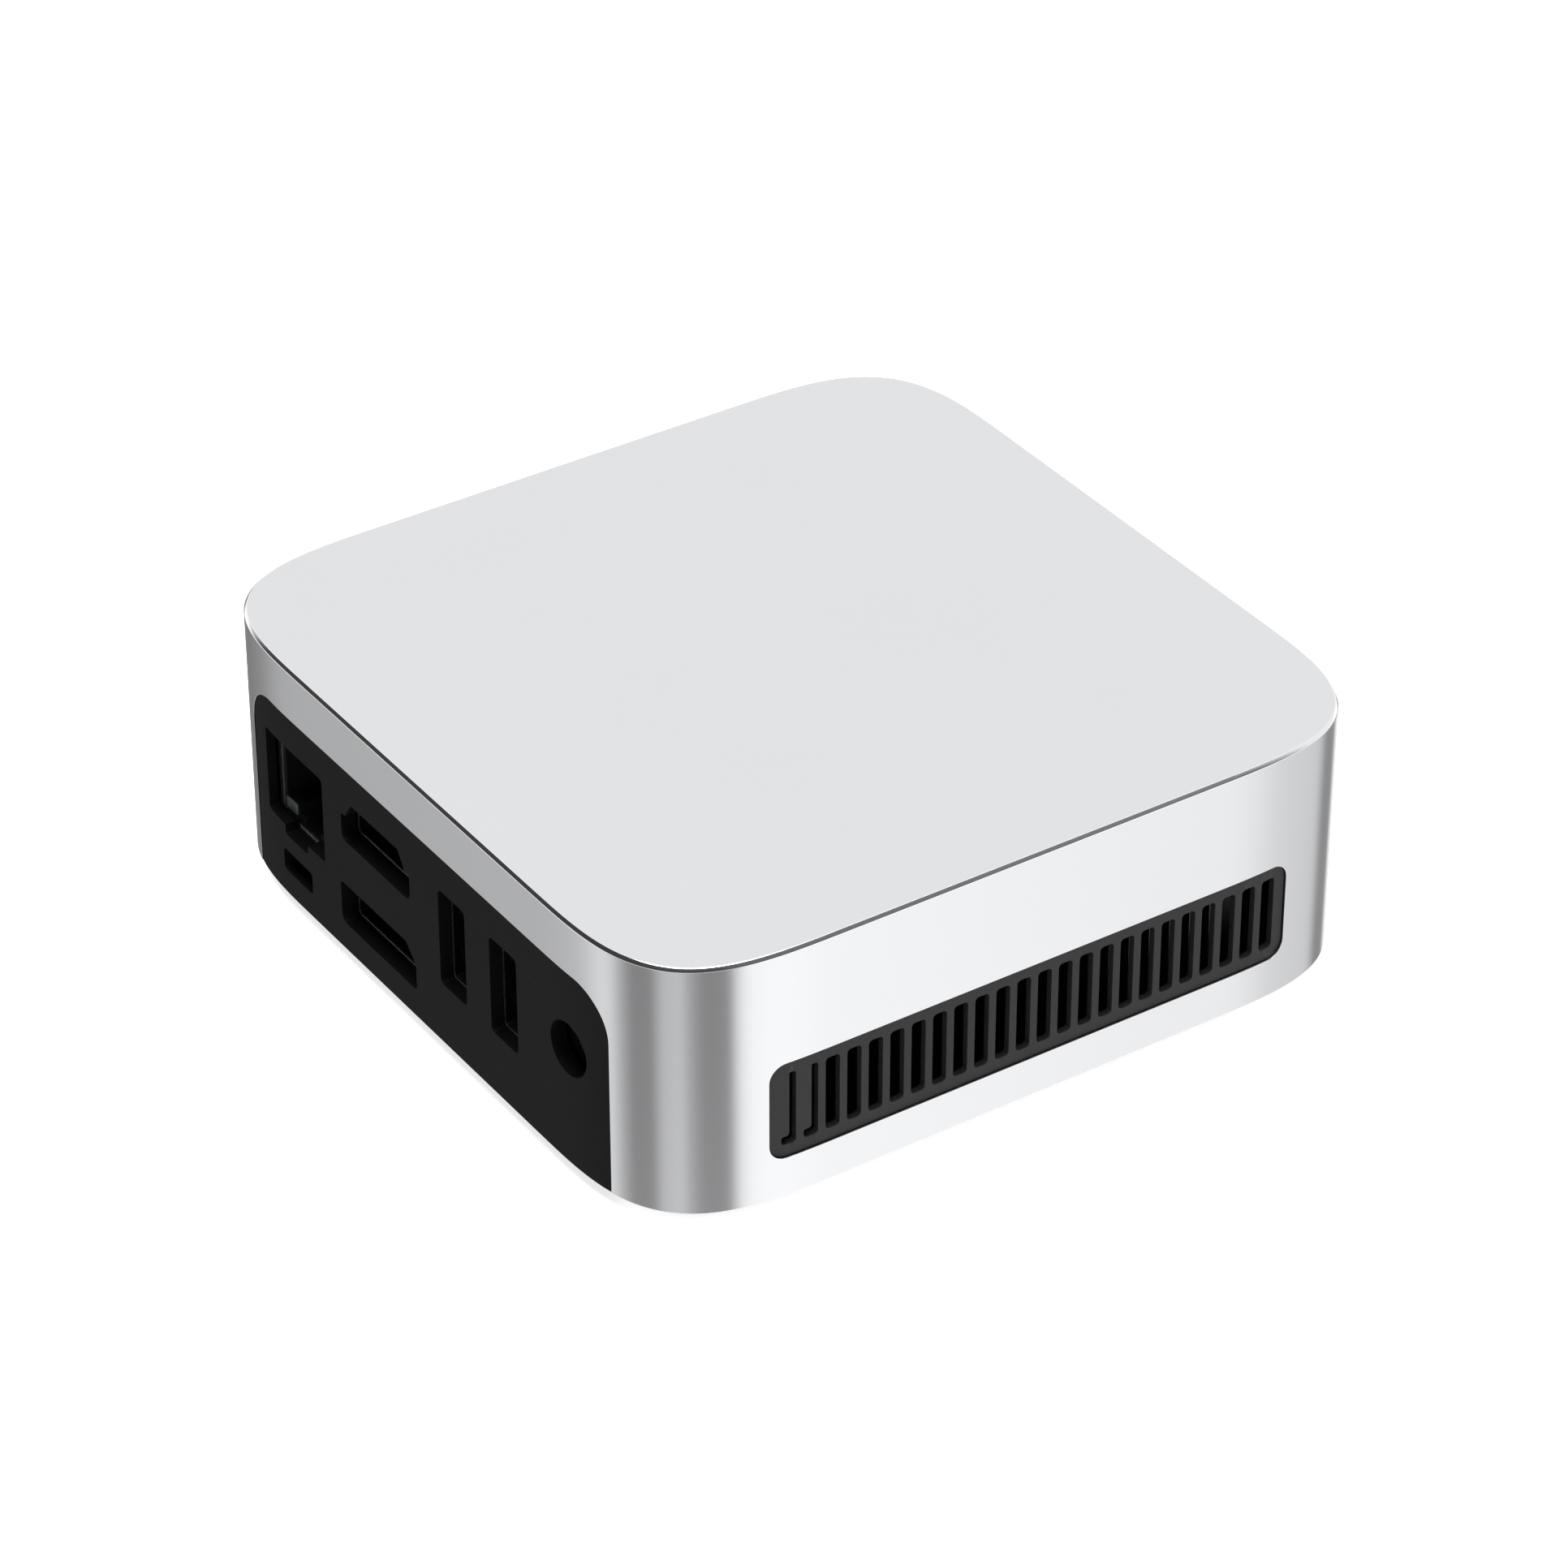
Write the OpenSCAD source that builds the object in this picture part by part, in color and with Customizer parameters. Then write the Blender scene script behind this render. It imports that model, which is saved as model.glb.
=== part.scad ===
// Mini pc: a square metal housing with a black rear port panel, a vent grille
// on each side and a cooler, board and cards inside.
// +Z is up, the origin is the middle of the footprint at the bottom of the feet,
// the rear ports face +Y and the power button faces -Y. Sizes are millimetres.

/* [Body] */
// Side of the square footprint
side = 103; // [102:1:108]
// Height of the housing without its feet
height = 34; // [34:1:38]
// How far each rounded corner reaches along a side
corner_reach = 26.65; // [25:0.05:28]
// Squareness of the corner curve, where 2 is a circular arc
corner_power = 3.6; // [3.4:0.1:3.8]
// Thickness of the housing's side walls
wall = 1.6; // [1.5:0.1:1.7]
// Thickness of the housing's roof
roof = 1.8; // [1.6:0.1:2]
// Chamfer round the top edge
edge = 0.4; // [0.3:0.1:0.7]
// Height of the housing above the surface that the feet stand on
foot_gap = 2; // [1.8:0.1:2.4]

/* [Rear panel] */
// Width of the panel
panel_w = 80; // [78:1:81]
// Depth of the metal strip above the panel
panel_drop = 7.1; // [7.1:0.1:7.6]
// Radius of the panel's two upper corners
panel_r = 6; // [5:0.5:8]

/* [Rear ports] */
// Centre of the network jack
network_x = 29.2; // [28.8:0.1:29.4]
// Centre of the two stacked video ports
video_x = 9.9; // [9.2:0.1:10]
// Centres of the two upright data ports
usb_x = [-7.5, -18.85];
// Centre of the power jack
power_x = -32.6; // [-33:0.1:-32.4]

/* [Vents] */
// Width of each vent window
vent_w = 73.2; // [72.6:0.1:74]
// Height of each vent window
vent_h = 13.3; // [13:0.1:14]
// Height of the window's lower edge above the housing's lower edge
vent_rise = 5.25; // [5:0.05:5.5]
// Offset of the windows from the middle, along Y
vent_y = -0.3; // [-0.5:0.1:0.5]
// Corner radius of a window
vent_r = 2.2; // [1.5:0.1:2.5]
// Number of slots in a grille
slots = 24; // [20:1:24]
// Distance from one slot to the next
slot_pitch = 2.95; // [2.8:0.05:2.95]
// Width of a slot
slot_w = 1.95; // [1.6:0.05:2]
// Height of a slot
slot_h = 10; // [8:0.5:10.2]

/* [Cooler] */
// Thickness of the fan
fan_t = 7; // [6:0.5:8]
// Number of fan blades
blades = 9; // [7:1:11]
// Distance from one heat sink fin to the next
fin_pitch = 2.95; // [2.5:0.05:3.5]
// Thickness of a fin
fin_t = 0.6; // [0.4:0.1:0.8]

/* [Power button] */
// Diameter of the button's cap
button_d = 8; // [7:0.5:9]
// Centre of the button along X
button_x = 28; // [27:0.5:29]
// How far the button travels
button_travel = 0.6; // [0.4:0.1:0.6]

/* [Hidden] */
$fn = 48;

half = side / 2;
base_z = foot_gap;
top_z = base_z + height;
roof_z = top_z - roof;
board_top = roof_z - 8.1;
board_t = 1.6;
deck = board_top - board_t;
panel_t = 1.6;
fit = 0.1;
cover_t = 1.8;
cover_top = base_z + cover_t;
panel_top = top_z - panel_drop;
corner_steps = 24;

// Posts that tie the cover, the board and the housing together
post_x = half - 9.5;
post_y = half - 17.5;
foot_x = half - 19.5;
foot_y = half - 13.5;
foot_r = 5.5;
insert_y = 37.5;

// Cooler
fan_size = 60;
fan_y = -2;
fan_z = cover_top + 1.4;
fan_hole = 52;
sink_base_z = deck - 3.5;
sink_top = deck - 0.9;
sink_x = half - 5.2;
sink_front = -30;
sink_rear = 26;
fin_low = fan_z + fan_t + 0.4;
sink_screw_x = 20;
sink_screw_y = [-18, 14];

// Ports: heights are measured down from the underside of the board
port_face = half - 2.2;
power_face = half - 2.9;
usb_face = half - 1.8;
usb_mid = deck - 7.2;
power_z = deck - 6.35;
front_usb_x = [-17, 2];
front_usb_z = deck - 3.15;
audio_x = -34;
audio_z = deck - 3.9;
button_z = deck - 4.9;
switch_y = -half + 6;
light_x = 19;

// Cards above the board
module_z = board_top + 2.5;
latch_pivot = [35.4, -37];
ssd_z = board_top + 3.5;
ssd_y = 17;
ssd_start = -38;
wifi_z = board_top + 1.6;
wifi_start = 5;
battery_at = [-28, 38];

// ---- Shared shapes ----

// One corner of the body's outline, drawn in by inset along its own normal
function corner(inset) = [
  for (i = [0 : corner_steps])
    let (
      t = 90 * i / corner_steps,
      u = pow(cos(t), 2 / corner_power),
      v = pow(sin(t), 2 / corner_power),
      nu = pow(u, corner_power - 1),
      nv = pow(v, corner_power - 1),
      n = sqrt(nu * nu + nv * nv),
      flat = half - corner_reach
    )
    [flat + corner_reach * u - inset * nu / n, flat + corner_reach * v - inset * nv / n]
];

function quarter_turn(p, k) =
  k == 0 ? p : k == 1 ? [-p[1], p[0]] : k == 2 ? [-p[0], -p[1]] : [p[1], -p[0]];

module outline(inset) {
  points = corner(inset);
  polygon([for (k = [0 : 3]) for (p = points) quarter_turn(p, k)]);
}

module slab(low, high, inset) {
  translate([0, 0, low]) linear_extrude(high - low) outline(inset);
}

// A wall that follows the body's outline between two insets
module band(low, high, outer, inner) {
  translate([0, 0, low]) linear_extrude(high - low) difference() {
    outline(outer);
    outline(inner);
  }
}

module rounded(w, h, r) {
  square([w - 2 * r, h], center = true);
  square([w, h - 2 * r], center = true);
  for (x = [-1, 1], y = [-1, 1]) translate([x * (w / 2 - r), y * (h / 2 - r)]) circle(r);
}

// Turns a profile drawn in X and Z into a prism that runs from y0 to y1
module along_y(y0, y1) {
  translate([0, y1, 0]) rotate([90, 0, 0]) linear_extrude(y1 - y0) children();
}

// Turns a profile drawn in Y and Z into a prism that runs from x0 to x1
module along_x(x0, x1) {
  translate([x0, 0, 0]) rotate([90, 0, 90]) linear_extrude(x1 - x0) children();
}

module block(x, y, z) {
  translate([x[0], y[0], z[0]]) cube([x[1] - x[0], y[1] - y[0], z[1] - z[0]]);
}

module rod(x, y, z0, z1, r) {
  translate([x, y, z0]) cylinder(h = z1 - z0, r = r);
}

module rod_y(x, z, y0, y1, r) {
  translate([x, y1, z]) rotate([90, 0, 0]) cylinder(h = y1 - y0, r = r);
}

module at_corners(x, y) {
  for (sx = [-1, 1], sy = [-1, 1]) translate([sx * x, sy * y, 0]) children();
}

function unit(v) = v / norm(v);

// Rings of a round tube along a list of points
function tube_ring(path, i, r, sides) =
  let (
    last = len(path) - 1,
    ahead = unit(path[min(i + 1, last)] - path[max(i - 1, 0)]),
    across = unit(cross(ahead, [0.31, 0.2, 0.93])),
    up = cross(across, ahead)
  )
  [for (k = [0 : sides - 1])
    path[i] + r * (cos(360 * k / sides) * across + sin(360 * k / sides) * up)];

module tube(path, r, sides = 8) {
  rings = len(path);
  points = [for (i = [0 : rings - 1]) each tube_ring(path, i, r, sides)];
  walls = [for (i = [0 : rings - 2], k = [0 : sides - 1])
    let (a = i * sides + k, b = i * sides + (k + 1) % sides)
    [a, b, b + sides, a + sides]];
  first = [for (k = [sides - 1 : -1 : 0]) k];
  end = [for (k = [0 : sides - 1]) (rings - 1) * sides + k];
  polyhedron(points, concat([first], walls, [end]));
}

// A smooth run through hand-picked points
function run_point(p, i, t) =
  let (
    n = len(p) - 1,
    a = p[max(i - 1, 0)], b = p[i], c = p[min(i + 1, n)], d = p[min(i + 2, n)]
  )
  0.5 * (2 * b + (c - a) * t + (2 * a - 5 * b + 4 * c - d) * t * t
    + (3 * b - a - 3 * c + d) * t * t * t);
function smooth_run(p, steps) = concat(
  [for (i = [0 : len(p) - 2], k = [0 : steps - 1]) run_point(p, i, k / steps)],
  [p[len(p) - 1]]
);

// ---- Openings ----

module rear_window(grow) {
  w = panel_w + 2 * grow;
  r = panel_r + grow;
  top = panel_top + grow;
  along_y(half - 12, half + 2) {
    translate([-w / 2, base_z - 3]) square([w, top - r - base_z + 3]);
    translate([-w / 2 + r, base_z - 3]) square([w - 2 * r, top - base_z + 3]);
    for (s = [-1, 1]) translate([s * (w / 2 - r), top - r]) circle(r, $fn = 64);
  }
}

module vent_window(grow) {
  along_x(-half - 2, -half + 8)
    translate([vent_y, base_z + vent_rise + vent_h / 2])
      rounded(vent_w + 2 * grow, vent_h + 2 * grow, vent_r + grow);
}

module network_profile() {
  translate([network_x, deck - 6.35]) rounded(14, 11.9, 0.5);
  translate([network_x, deck - 12.4]) rounded(5.5, 2.4, 0.4);
}

module lock_profile() {
  translate([network_x, deck - 17.55]) rounded(7, 3.1, 0.6);
}

// Wide below and narrow above, with a small ledge and a slope on each side
module upper_video_profile(grow) {
  low = deck - 6.2 - grow;
  shoulder = deck - 2.5 + grow;
  high = deck - 0.2 + grow;
  wide = 7.9 + grow;
  ledge = 6.9 + grow / 2;
  narrow = 5.4 + grow / 2;
  right = [[wide, low], [wide, shoulder], [ledge, shoulder], [narrow, high]];
  left = [for (i = [3 : -1 : 0]) [-right[i][0], right[i][1]]];
  translate([video_x, 0]) polygon(concat(right, left));
}

// A rectangle with one corner cut off
module lower_video_profile(grow) {
  low = deck - 18.6 - grow;
  high = deck - 12.7 + grow;
  wide = 8.7 + grow;
  cut = 2.2 + grow / 2;
  translate([video_x, 0])
    polygon([[-wide, low], [wide, low], [wide, high], [cut - wide, high], [-wide, high - cut]]);
}

module usb_rear_profile(x, grow) {
  translate([x, usb_mid]) rounded(5.9 + 2 * grow, 13.4 + 2 * grow, 0.7);
}

module usb_front_profile(x, grow) {
  translate([x, front_usb_z]) rounded(13.4 + 2 * grow, 5.9 + 2 * grow, 0.7);
}

// ---- Casing ----

module housing() {
  color("gainsboro") difference() {
    union() {
      difference() {
        union() {
          slab(base_z, top_z - edge, 0);
          hull() {
            slab(top_z - edge - 0.01, top_z - edge, 0);
            slab(top_z - 0.01, top_z, edge);
          }
        }
        slab(base_z - 1, roof_z, wall);
      }
      at_corners(post_x, post_y) rod(0, 0, board_top, roof_z + 0.2, 3);
    }
    at_corners(post_x, post_y) rod(0, 0, board_top - 1, board_top + 5.5, 1.25);
    rear_window(0);
    vent_window(0);
    mirror([1, 0, 0]) vent_window(0);
    along_y(-half - 1, -half + 5) for (x = front_usb_x) usb_front_profile(x, 0);
    rod_y(audio_x, audio_z, -half - 1, -half + 5, 2.75);
    rod_y(button_x, button_z, -half - 1, -half + 5, button_d / 2 + 0.08);
    rod_y(light_x, button_z, -half - 1, -half + 5, 1.05);
  }
}

module rear_panel() {
  color([0.13, 0.13, 0.13]) difference() {
    union() {
      intersection() {
        band(base_z, panel_top + 1, fit, fit + panel_t);
        rear_window(-fit);
      }
      intersection() {
        band(cover_top + 0.15, panel_top + 2, wall + 0.05, wall + 0.9);
        difference() {
          rear_window(1.9);
          rear_window(-1.8);
        }
      }
    }
    along_y(half - 8, half + 1) {
      network_profile();
      lock_profile();
      upper_video_profile(0);
      lower_video_profile(0);
      for (x = usb_x) usb_rear_profile(x, 0);
    }
    rod_y(power_x, power_z, half - 8, half + 1, 3.55);
  }
}

// One slot; the two nearest the rear are partly closed, which leaves an L
module grille_slot(closed) {
  difference() {
    rounded(slot_w, slot_h, 0.5);
    if (closed) translate([slot_w / 2, 1.15 + 0.01]) rounded(2.1, slot_h, 0.45);
  }
}

module side_grille_left() {
  mid = base_z + vent_rise + vent_h / 2;
  color([0.25, 0.25, 0.25]) difference() {
    union() {
      intersection() {
        band(base_z, top_z - 4, 0.3, 1.2);
        vent_window(-fit);
      }
      intersection() {
        band(base_z, top_z - 4, 0.3, wall + 0.1);
        difference() {
          vent_window(-fit);
          vent_window(-1.1);
        }
      }
      intersection() {
        band(base_z, top_z - 4, wall + 0.05, wall + 0.8);
        difference() {
          vent_window(1.2);
          vent_window(-1.1);
        }
      }
    }
    along_x(-half - 1, -half + 4)
      for (i = [0 : slots - 1])
        translate([vent_y + ((slots - 1) / 2 - i) * slot_pitch, mid]) grille_slot(i < 2);
  }
}

module side_grille_right() {
  mirror([1, 0, 0]) side_grille_left();
}

module bottom_cover() {
  intake = 27;
  intake_slots = 7;
  color([0.16, 0.16, 0.17]) difference() {
    union() {
      slab(base_z, cover_top, wall + 0.15);
      translate([0, fan_y, cover_top]) difference() {
        cylinder(h = 1.2, r = 31.6, $fn = 96);
        translate([0, 0, -1]) cylinder(h = 3, r = 30.2, $fn = 96);
      }
      for (s = [-1, 1]) rod(0, s * insert_y, base_z, base_z + 3.8, 3.6);
    }
    for (i = [-intake_slots : intake_slots])
      let (length = 2 * sqrt(intake * intake - 9 * i * i * 1.44))
        translate([3.6 * i, fan_y, base_z - 1]) linear_extrude(cover_t + 2)
          rounded(1.8, length, 0.89);
    at_corners(foot_x, foot_y) rod(0, 0, base_z - 1, base_z + 0.8, foot_r + 0.1);
    at_corners(post_x, post_y) {
      rod(0, 0, base_z - 1, cover_top + 1, 1.4);
      translate([0, 0, base_z]) cylinder(h = 1.3, r1 = 2.5, r2 = 1.3);
      rod(0, 0, base_z - 1, base_z + 0.01, 2.5);
    }
    for (s = [-1, 1]) rod(0, s * insert_y, base_z - 1, base_z + 5, 2.1);
  }
}

module rubber_feet() {
  round_r = 1;
  color([0.1, 0.1, 0.1]) at_corners(foot_x, foot_y) rotate_extrude() {
    square([foot_r - round_r, base_z + 0.8]);
    translate([0, round_r]) square([foot_r, base_z + 0.8 - round_r]);
    intersection() {
      translate([foot_r - round_r, round_r]) circle(round_r);
      square(foot_r + 1);
    }
  }
}

module cover_screws() {
  color("dimgray") at_corners(post_x, post_y) difference() {
    union() {
      translate([0, 0, base_z + 0.1]) cylinder(h = 1.2, r1 = 2.3, r2 = 1.2);
      rod(0, 0, base_z + 0.5, cover_top + 8, 1.15);
    }
    translate([0, 0, base_z - 1]) cylinder(h = 1.9, r = 0.85, $fn = 6);
  }
}

module standoffs() {
  color("goldenrod") at_corners(post_x, post_y) {
    difference() {
      translate([0, 0, cover_top]) cylinder(h = deck - cover_top, r = 2.75, $fn = 6);
      rod(0, 0, cover_top - 1, cover_top + 9, 1.25);
    }
    rod(0, 0, deck - 0.5, board_top + 5, 1.15);
  }
}

module bracket_inserts() {
  color("gold") for (s = [-1, 1]) difference() {
    union() {
      rod(0, s * insert_y, base_z + 0.1, base_z + 3.8, 1.95);
      for (z = [0.6, 2.2]) rod(0, s * insert_y, base_z + z, base_z + z + 1, 2.1);
    }
    rod(0, s * insert_y, base_z - 1, base_z + 5, 1.25);
  }
}

module lock_plate() {
  color("silver") difference() {
    union() {
      block([network_x - 6, network_x + 6], [half - 2.9, half - 2.1], [cover_top + 0.1, deck - 15]);
      block([network_x - 6, network_x + 6], [half - 9.5, half - 2.2], [cover_top + 0.05, cover_top + 0.9]);
    }
    along_y(half - 5, half) lock_profile();
  }
}

// ---- Board and what is soldered to it ----

module motherboard() {
  color("darkgreen") difference() {
    slab(deck, board_top, 2.8);
    at_corners(post_x, post_y) rod(0, 0, deck - 1, board_top + 1, 1.6);
    for (x = [-1, 1], y = sink_screw_y) rod(x * sink_screw_x, y, deck - 1, board_top + 1, 1.25);
  }
}

// Chips and coils: x, y, width, depth and height, on top of or under the board
top_chips = [
  [-10, 36, 8, 8, 1], [2, 36, 5, 5, 0.9], [-4, 43, 4, 4, 0.8], [10, 42, 6, 4, 1.2],
  [-20, 0.5, 7, 7, 1.4], [20, 0.5, 5, 4, 1], [33, 33, 4, 3, 1]
];
under_chips = [
  [-2, -33.5, 7, 3, 2.5], [10, -33.5, 7, 3, 2.5], [24, -33.5, 6, 3, 2], [-12, -33.5, 6, 3, 1.6]
];
capacitors = [[-9, 30], [-5, 30], [12, 29.4], [16, 29.4]];

module board_components() {
  color([0.2, 0.2, 0.22]) {
    for (c = top_chips)
      translate([c[0] - c[2] / 2, c[1] - c[3] / 2, board_top]) cube([c[2], c[3], c[4]]);
    for (c = under_chips)
      translate([c[0] - c[2] / 2, c[1] - c[3] / 2, deck - c[4]]) cube([c[2], c[3], c[4]]);
    for (c = capacitors) rod(c[0], c[1], deck - 5, deck, 1.6);
  }
}

module processor() {
  color([0.1, 0.2, 0.15]) {
    block([-14, 14], [fan_y - 12, fan_y + 12], [deck - 0.55, deck]);
    block([-6, 6], [fan_y - 5, fan_y + 5], [deck - 0.75, deck - 0.5]);
  }
}

module thermal_paste() {
  color("lightgray") block([-6, 6], [fan_y - 5, fan_y + 5], [sink_top, deck - 0.75]);
}

module memory_socket() {
  color([0.1, 0.1, 0.1]) {
    difference() {
      block([-34, 34], [-41, -33.5], [board_top, module_z + 1.8]);
      block([-33.85, 33.85], [-36, -33], [module_z - 0.05, module_z + 1.25]);
    }
    for (s = [-1, 1]) {
      translate([s * latch_pivot[0], latch_pivot[1], board_top])
        translate([-1.5, -1.6, 0]) cube([3, 3.2, 1.3]);
      rod(s * latch_pivot[0], latch_pivot[1], board_top + 1, module_z + 1.7, 0.6);
    }
  }
}

module memory_module() {
  chips = 4;
  chip_w = 12;
  color("seagreen") {
    difference() {
      block([-33.8, 33.8], [-35.5, -5.5], [module_z, module_z + 1.2]);
      for (s = [-1, 1])
        translate([s * 34, -10.5, module_z - 1]) cylinder(h = 4, r = 1.6);
      block([-6, -4.6], [-36, -33.8], [module_z - 1, module_z + 2]);
    }
    for (i = [0 : chips - 1])
      let (x = (i - (chips - 1) / 2) * 16)
        block([x - chip_w / 2, x + chip_w / 2], [-28, -13], [module_z - 0.95, module_z + 2.1]);
  }
}

// Spring arm at the +X end of the memory socket, closed on the module
module latch_arm() {
  color("silver") difference() {
    union() {
      rod(latch_pivot[0], latch_pivot[1], board_top + 1.5, module_z + 1.6, 1.15);
      block([34.8, 36], [-37, -8.2], [board_top + 1.5, module_z + 1.6]);
      block([33.2, 34.9], [-11.2, -9.8], [module_z + 0.1, module_z + 1.1]);
      block([34.8, 37.4], [-9.2, -8.2], [board_top + 1.5, module_z + 1.6]);
    }
    rod(latch_pivot[0], latch_pivot[1], board_top, module_z + 3, 0.66);
  }
}

module memory_latch_right() {
  latch_arm();
}

module memory_latch_left() {
  mirror([1, 0, 0]) latch_arm();
}

// A card socket whose slot opens towards +X
module card_socket(x, y, z, card_t, w) {
  difference() {
    block([x - 6, x + 1.2], [y - w / 2, y + w / 2], [board_top, z + card_t + 1]);
    block([x - 2.5, x + 2], [y - w / 2 + 0.8, y + w / 2 - 0.8], [z - 0.05, z + card_t + 0.05]);
  }
}

// A card that plugs in at x, with a half-round screw notch at its far end
module card(x, y, z, length, card_t, w) {
  difference() {
    union() {
      block([x - 2.2, x + 1.5], [y - w / 2 + 1.1, y + w / 2 - 1.1], [z, z + card_t]);
      block([x + 1.4, x + length], [y - w / 2, y + w / 2], [z, z + card_t]);
    }
    rod(x + length, y, z - 1, z + 2, 1.7);
    block([x - 3, x + 1.3], [y + 4, y + 5.2], [z - 1, z + 2]);
  }
}

module card_nut(x, y, z) {
  difference() {
    rod(x, y, board_top, z, 2.6);
    rod(x, y, board_top + 0.5, z + 1, 1);
  }
}

module card_screw(x, y, z, card_t) {
  rod(x, y, z + card_t, z + card_t + 0.7, 2.5);
  rod(x, y, board_top + 0.8, z + card_t + 0.2, 0.95);
}

module ssd_socket() {
  color([0.12, 0.12, 0.12]) card_socket(ssd_start, ssd_y, ssd_z, 0.8, 21.5);
}

module ssd_card() {
  color([0.05, 0.15, 0.3]) {
    card(ssd_start, ssd_y, ssd_z, 80, 0.8, 22);
    for (x = [-28, -8, 12])
      block([x, x + 15], [ssd_y - 7, ssd_y + 7], [ssd_z + 0.7, ssd_z + 2]);
    block([28.5, 35.5], [ssd_y - 4, ssd_y + 4], [ssd_z + 0.7, ssd_z + 1.8]);
  }
}

module ssd_nut() {
  color("gold") card_nut(ssd_start + 80, ssd_y, ssd_z);
}

module ssd_screw() {
  color("silver") card_screw(ssd_start + 80, ssd_y, ssd_z, 0.8);
}

module ssd_thermal_pad() {
  color("lightskyblue") block([-30, 38], [ssd_y - 9, ssd_y + 9], [ssd_z + 2, roof_z]);
}

module wifi_socket() {
  color([0.12, 0.12, 0.12]) difference() {
    block([wifi_start - 6, wifi_start + 1.2], [ssd_y - 10.75, ssd_y + 10.75], [board_top, ssd_z - 0.3]);
    block([wifi_start - 2.5, wifi_start + 2], [ssd_y - 10, ssd_y + 10], [wifi_z - 0.05, wifi_z + 0.85]);
  }
}

module wifi_card() {
  color([0.05, 0.25, 0.12]) {
    card(wifi_start, ssd_y, wifi_z, 26, 0.8, 22);
    block([wifi_start + 4, wifi_start + 16], [ssd_y - 8, ssd_y + 8], [wifi_z + 0.7, wifi_z + 1.6]);
    for (s = [-1, 1]) rod(wifi_start + 21, ssd_y + s * 8, wifi_z + 0.7, wifi_z + 0.9, 1);
  }
}

module wifi_nut() {
  color("gold") card_nut(wifi_start + 26, ssd_y, wifi_z);
}

module wifi_screw() {
  color("silver") card_screw(wifi_start + 26, ssd_y, wifi_z, 0.8);
}

module antennas() {
  color("darkorange") for (x = [-21, 7])
    block([x, x + 16], [half - 3.05, half - 2.55], [panel_top - 1.8, panel_top + 1.6]);
}

// Coax leads from the radio card to the two antennas
module antenna_leads() {
  low = wifi_z + 1.36;
  back = half - 3.1;
  connector_x = wifi_start + 21;
  color("black") {
    tube(smooth_run([
      [connector_x, ssd_y + 8, low], [27, 28, low], [27.5, 33, low], [26.5, 39, low - 0.3],
      [23, 44, low - 0.4], [16, 46.5, low - 0.5], [14, back, low - 0.5]
    ], 3), 0.45);
    tube(smooth_run([
      [connector_x, ssd_y - 8, low], [30, 9, low], [36, 8, low], [44, 11, low - 0.4],
      [46.5, 18, low - 0.5], [44.5, 26, low - 0.5], [38, 29.6, low], [30, 30.4, low + 1.2],
      [10, 30.4, low + 1.4], [-6, 31.2, low + 1], [-16, 38, low], [-17.5, 44, low - 0.5],
      [-16, back, low - 0.5]
    ], 3), 0.45);
  }
}

module battery_holder() {
  color([0.15, 0.15, 0.15]) difference() {
    rod(battery_at[0], battery_at[1], board_top, board_top + 2.2, 7.2);
    rod(battery_at[0], battery_at[1], board_top + 0.8, board_top + 3, 6.35);
    block(
      [battery_at[0] - 2.5, battery_at[0] + 2.5], [battery_at[1] + 3, battery_at[1] + 9],
      [board_top + 0.8, board_top + 3]
    );
  }
}

module coin_battery() {
  color("silver") {
    rod(battery_at[0], battery_at[1], board_top + 0.8, board_top + 2.6, 6.25);
    rod(battery_at[0], battery_at[1], board_top + 2.5, board_top + 2.9, 5.6);
  }
}

// ---- Cooler ----

module heat_sink() {
  fins = floor((sink_rear - sink_front - fin_t) / fin_pitch);
  side_low = cover_top + 3;
  notch = fan_size / 2 + 1.5;
  color("lightslategray") difference() {
    union() {
      block([-sink_x, sink_x], [sink_front, sink_rear], [sink_base_z, sink_top]);
      for (i = [0 : fins])
        along_y(sink_front + i * fin_pitch, sink_front + i * fin_pitch + fin_t)
          polygon([
            [-sink_x, sink_base_z + 0.1], [-sink_x, side_low], [-notch, side_low], [-notch, fin_low],
            [notch, fin_low], [notch, side_low], [sink_x, side_low], [sink_x, sink_base_z + 0.1]
          ]);
      for (x = [-1, 1], y = [-1, 1])
        rod(x * fan_hole / 2, fan_y + y * fan_hole / 2, fan_z + fan_t, sink_base_z + 0.1, 2.4);
    }
    for (x = [-1, 1], y = [-1, 1])
      rod(x * fan_hole / 2, fan_y + y * fan_hole / 2, fan_z + fan_t - 1, sink_base_z - 0.5, 1.2);
    for (x = [-1, 1], y = sink_screw_y)
      rod(x * sink_screw_x, y, sink_base_z + 0.6, sink_top + 1, 1.05);
  }
}

module heat_sink_screws() {
  color("silver") for (x = [-1, 1], y = sink_screw_y) {
    rod(x * sink_screw_x, y, board_top, board_top + 1.2, 2.2);
    rod(x * sink_screw_x, y, sink_base_z + 0.8, board_top + 0.5, 1);
  }
}

module fan_frame() {
  hub_r = 9;
  color([0.12, 0.12, 0.13]) translate([0, fan_y, fan_z]) difference() {
    union() {
      difference() {
        linear_extrude(fan_t) rounded(fan_size, fan_size, 4);
        translate([0, 0, -1]) cylinder(h = fan_t + 2, r = 28.6, $fn = 96);
      }
      cylinder(h = 1, r = hub_r);
      cylinder(h = 4, r = 2.4);
      for (k = [0 : 3]) rotate([0, 0, 45 + 90 * k])
        translate([hub_r - 1, -1, 0]) cube([30.5 - hub_r, 2, 1]);
    }
    translate([0, 0, 0.6]) cylinder(h = 5, r = 1.05);
    for (x = [-1, 1], y = [-1, 1]) translate([x * fan_hole / 2, y * fan_hole / 2, -1]) {
      cylinder(h = fan_t + 2, r = 1.4);
      cylinder(h = 2.6, r = 2.6);
    }
  }
}

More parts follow.
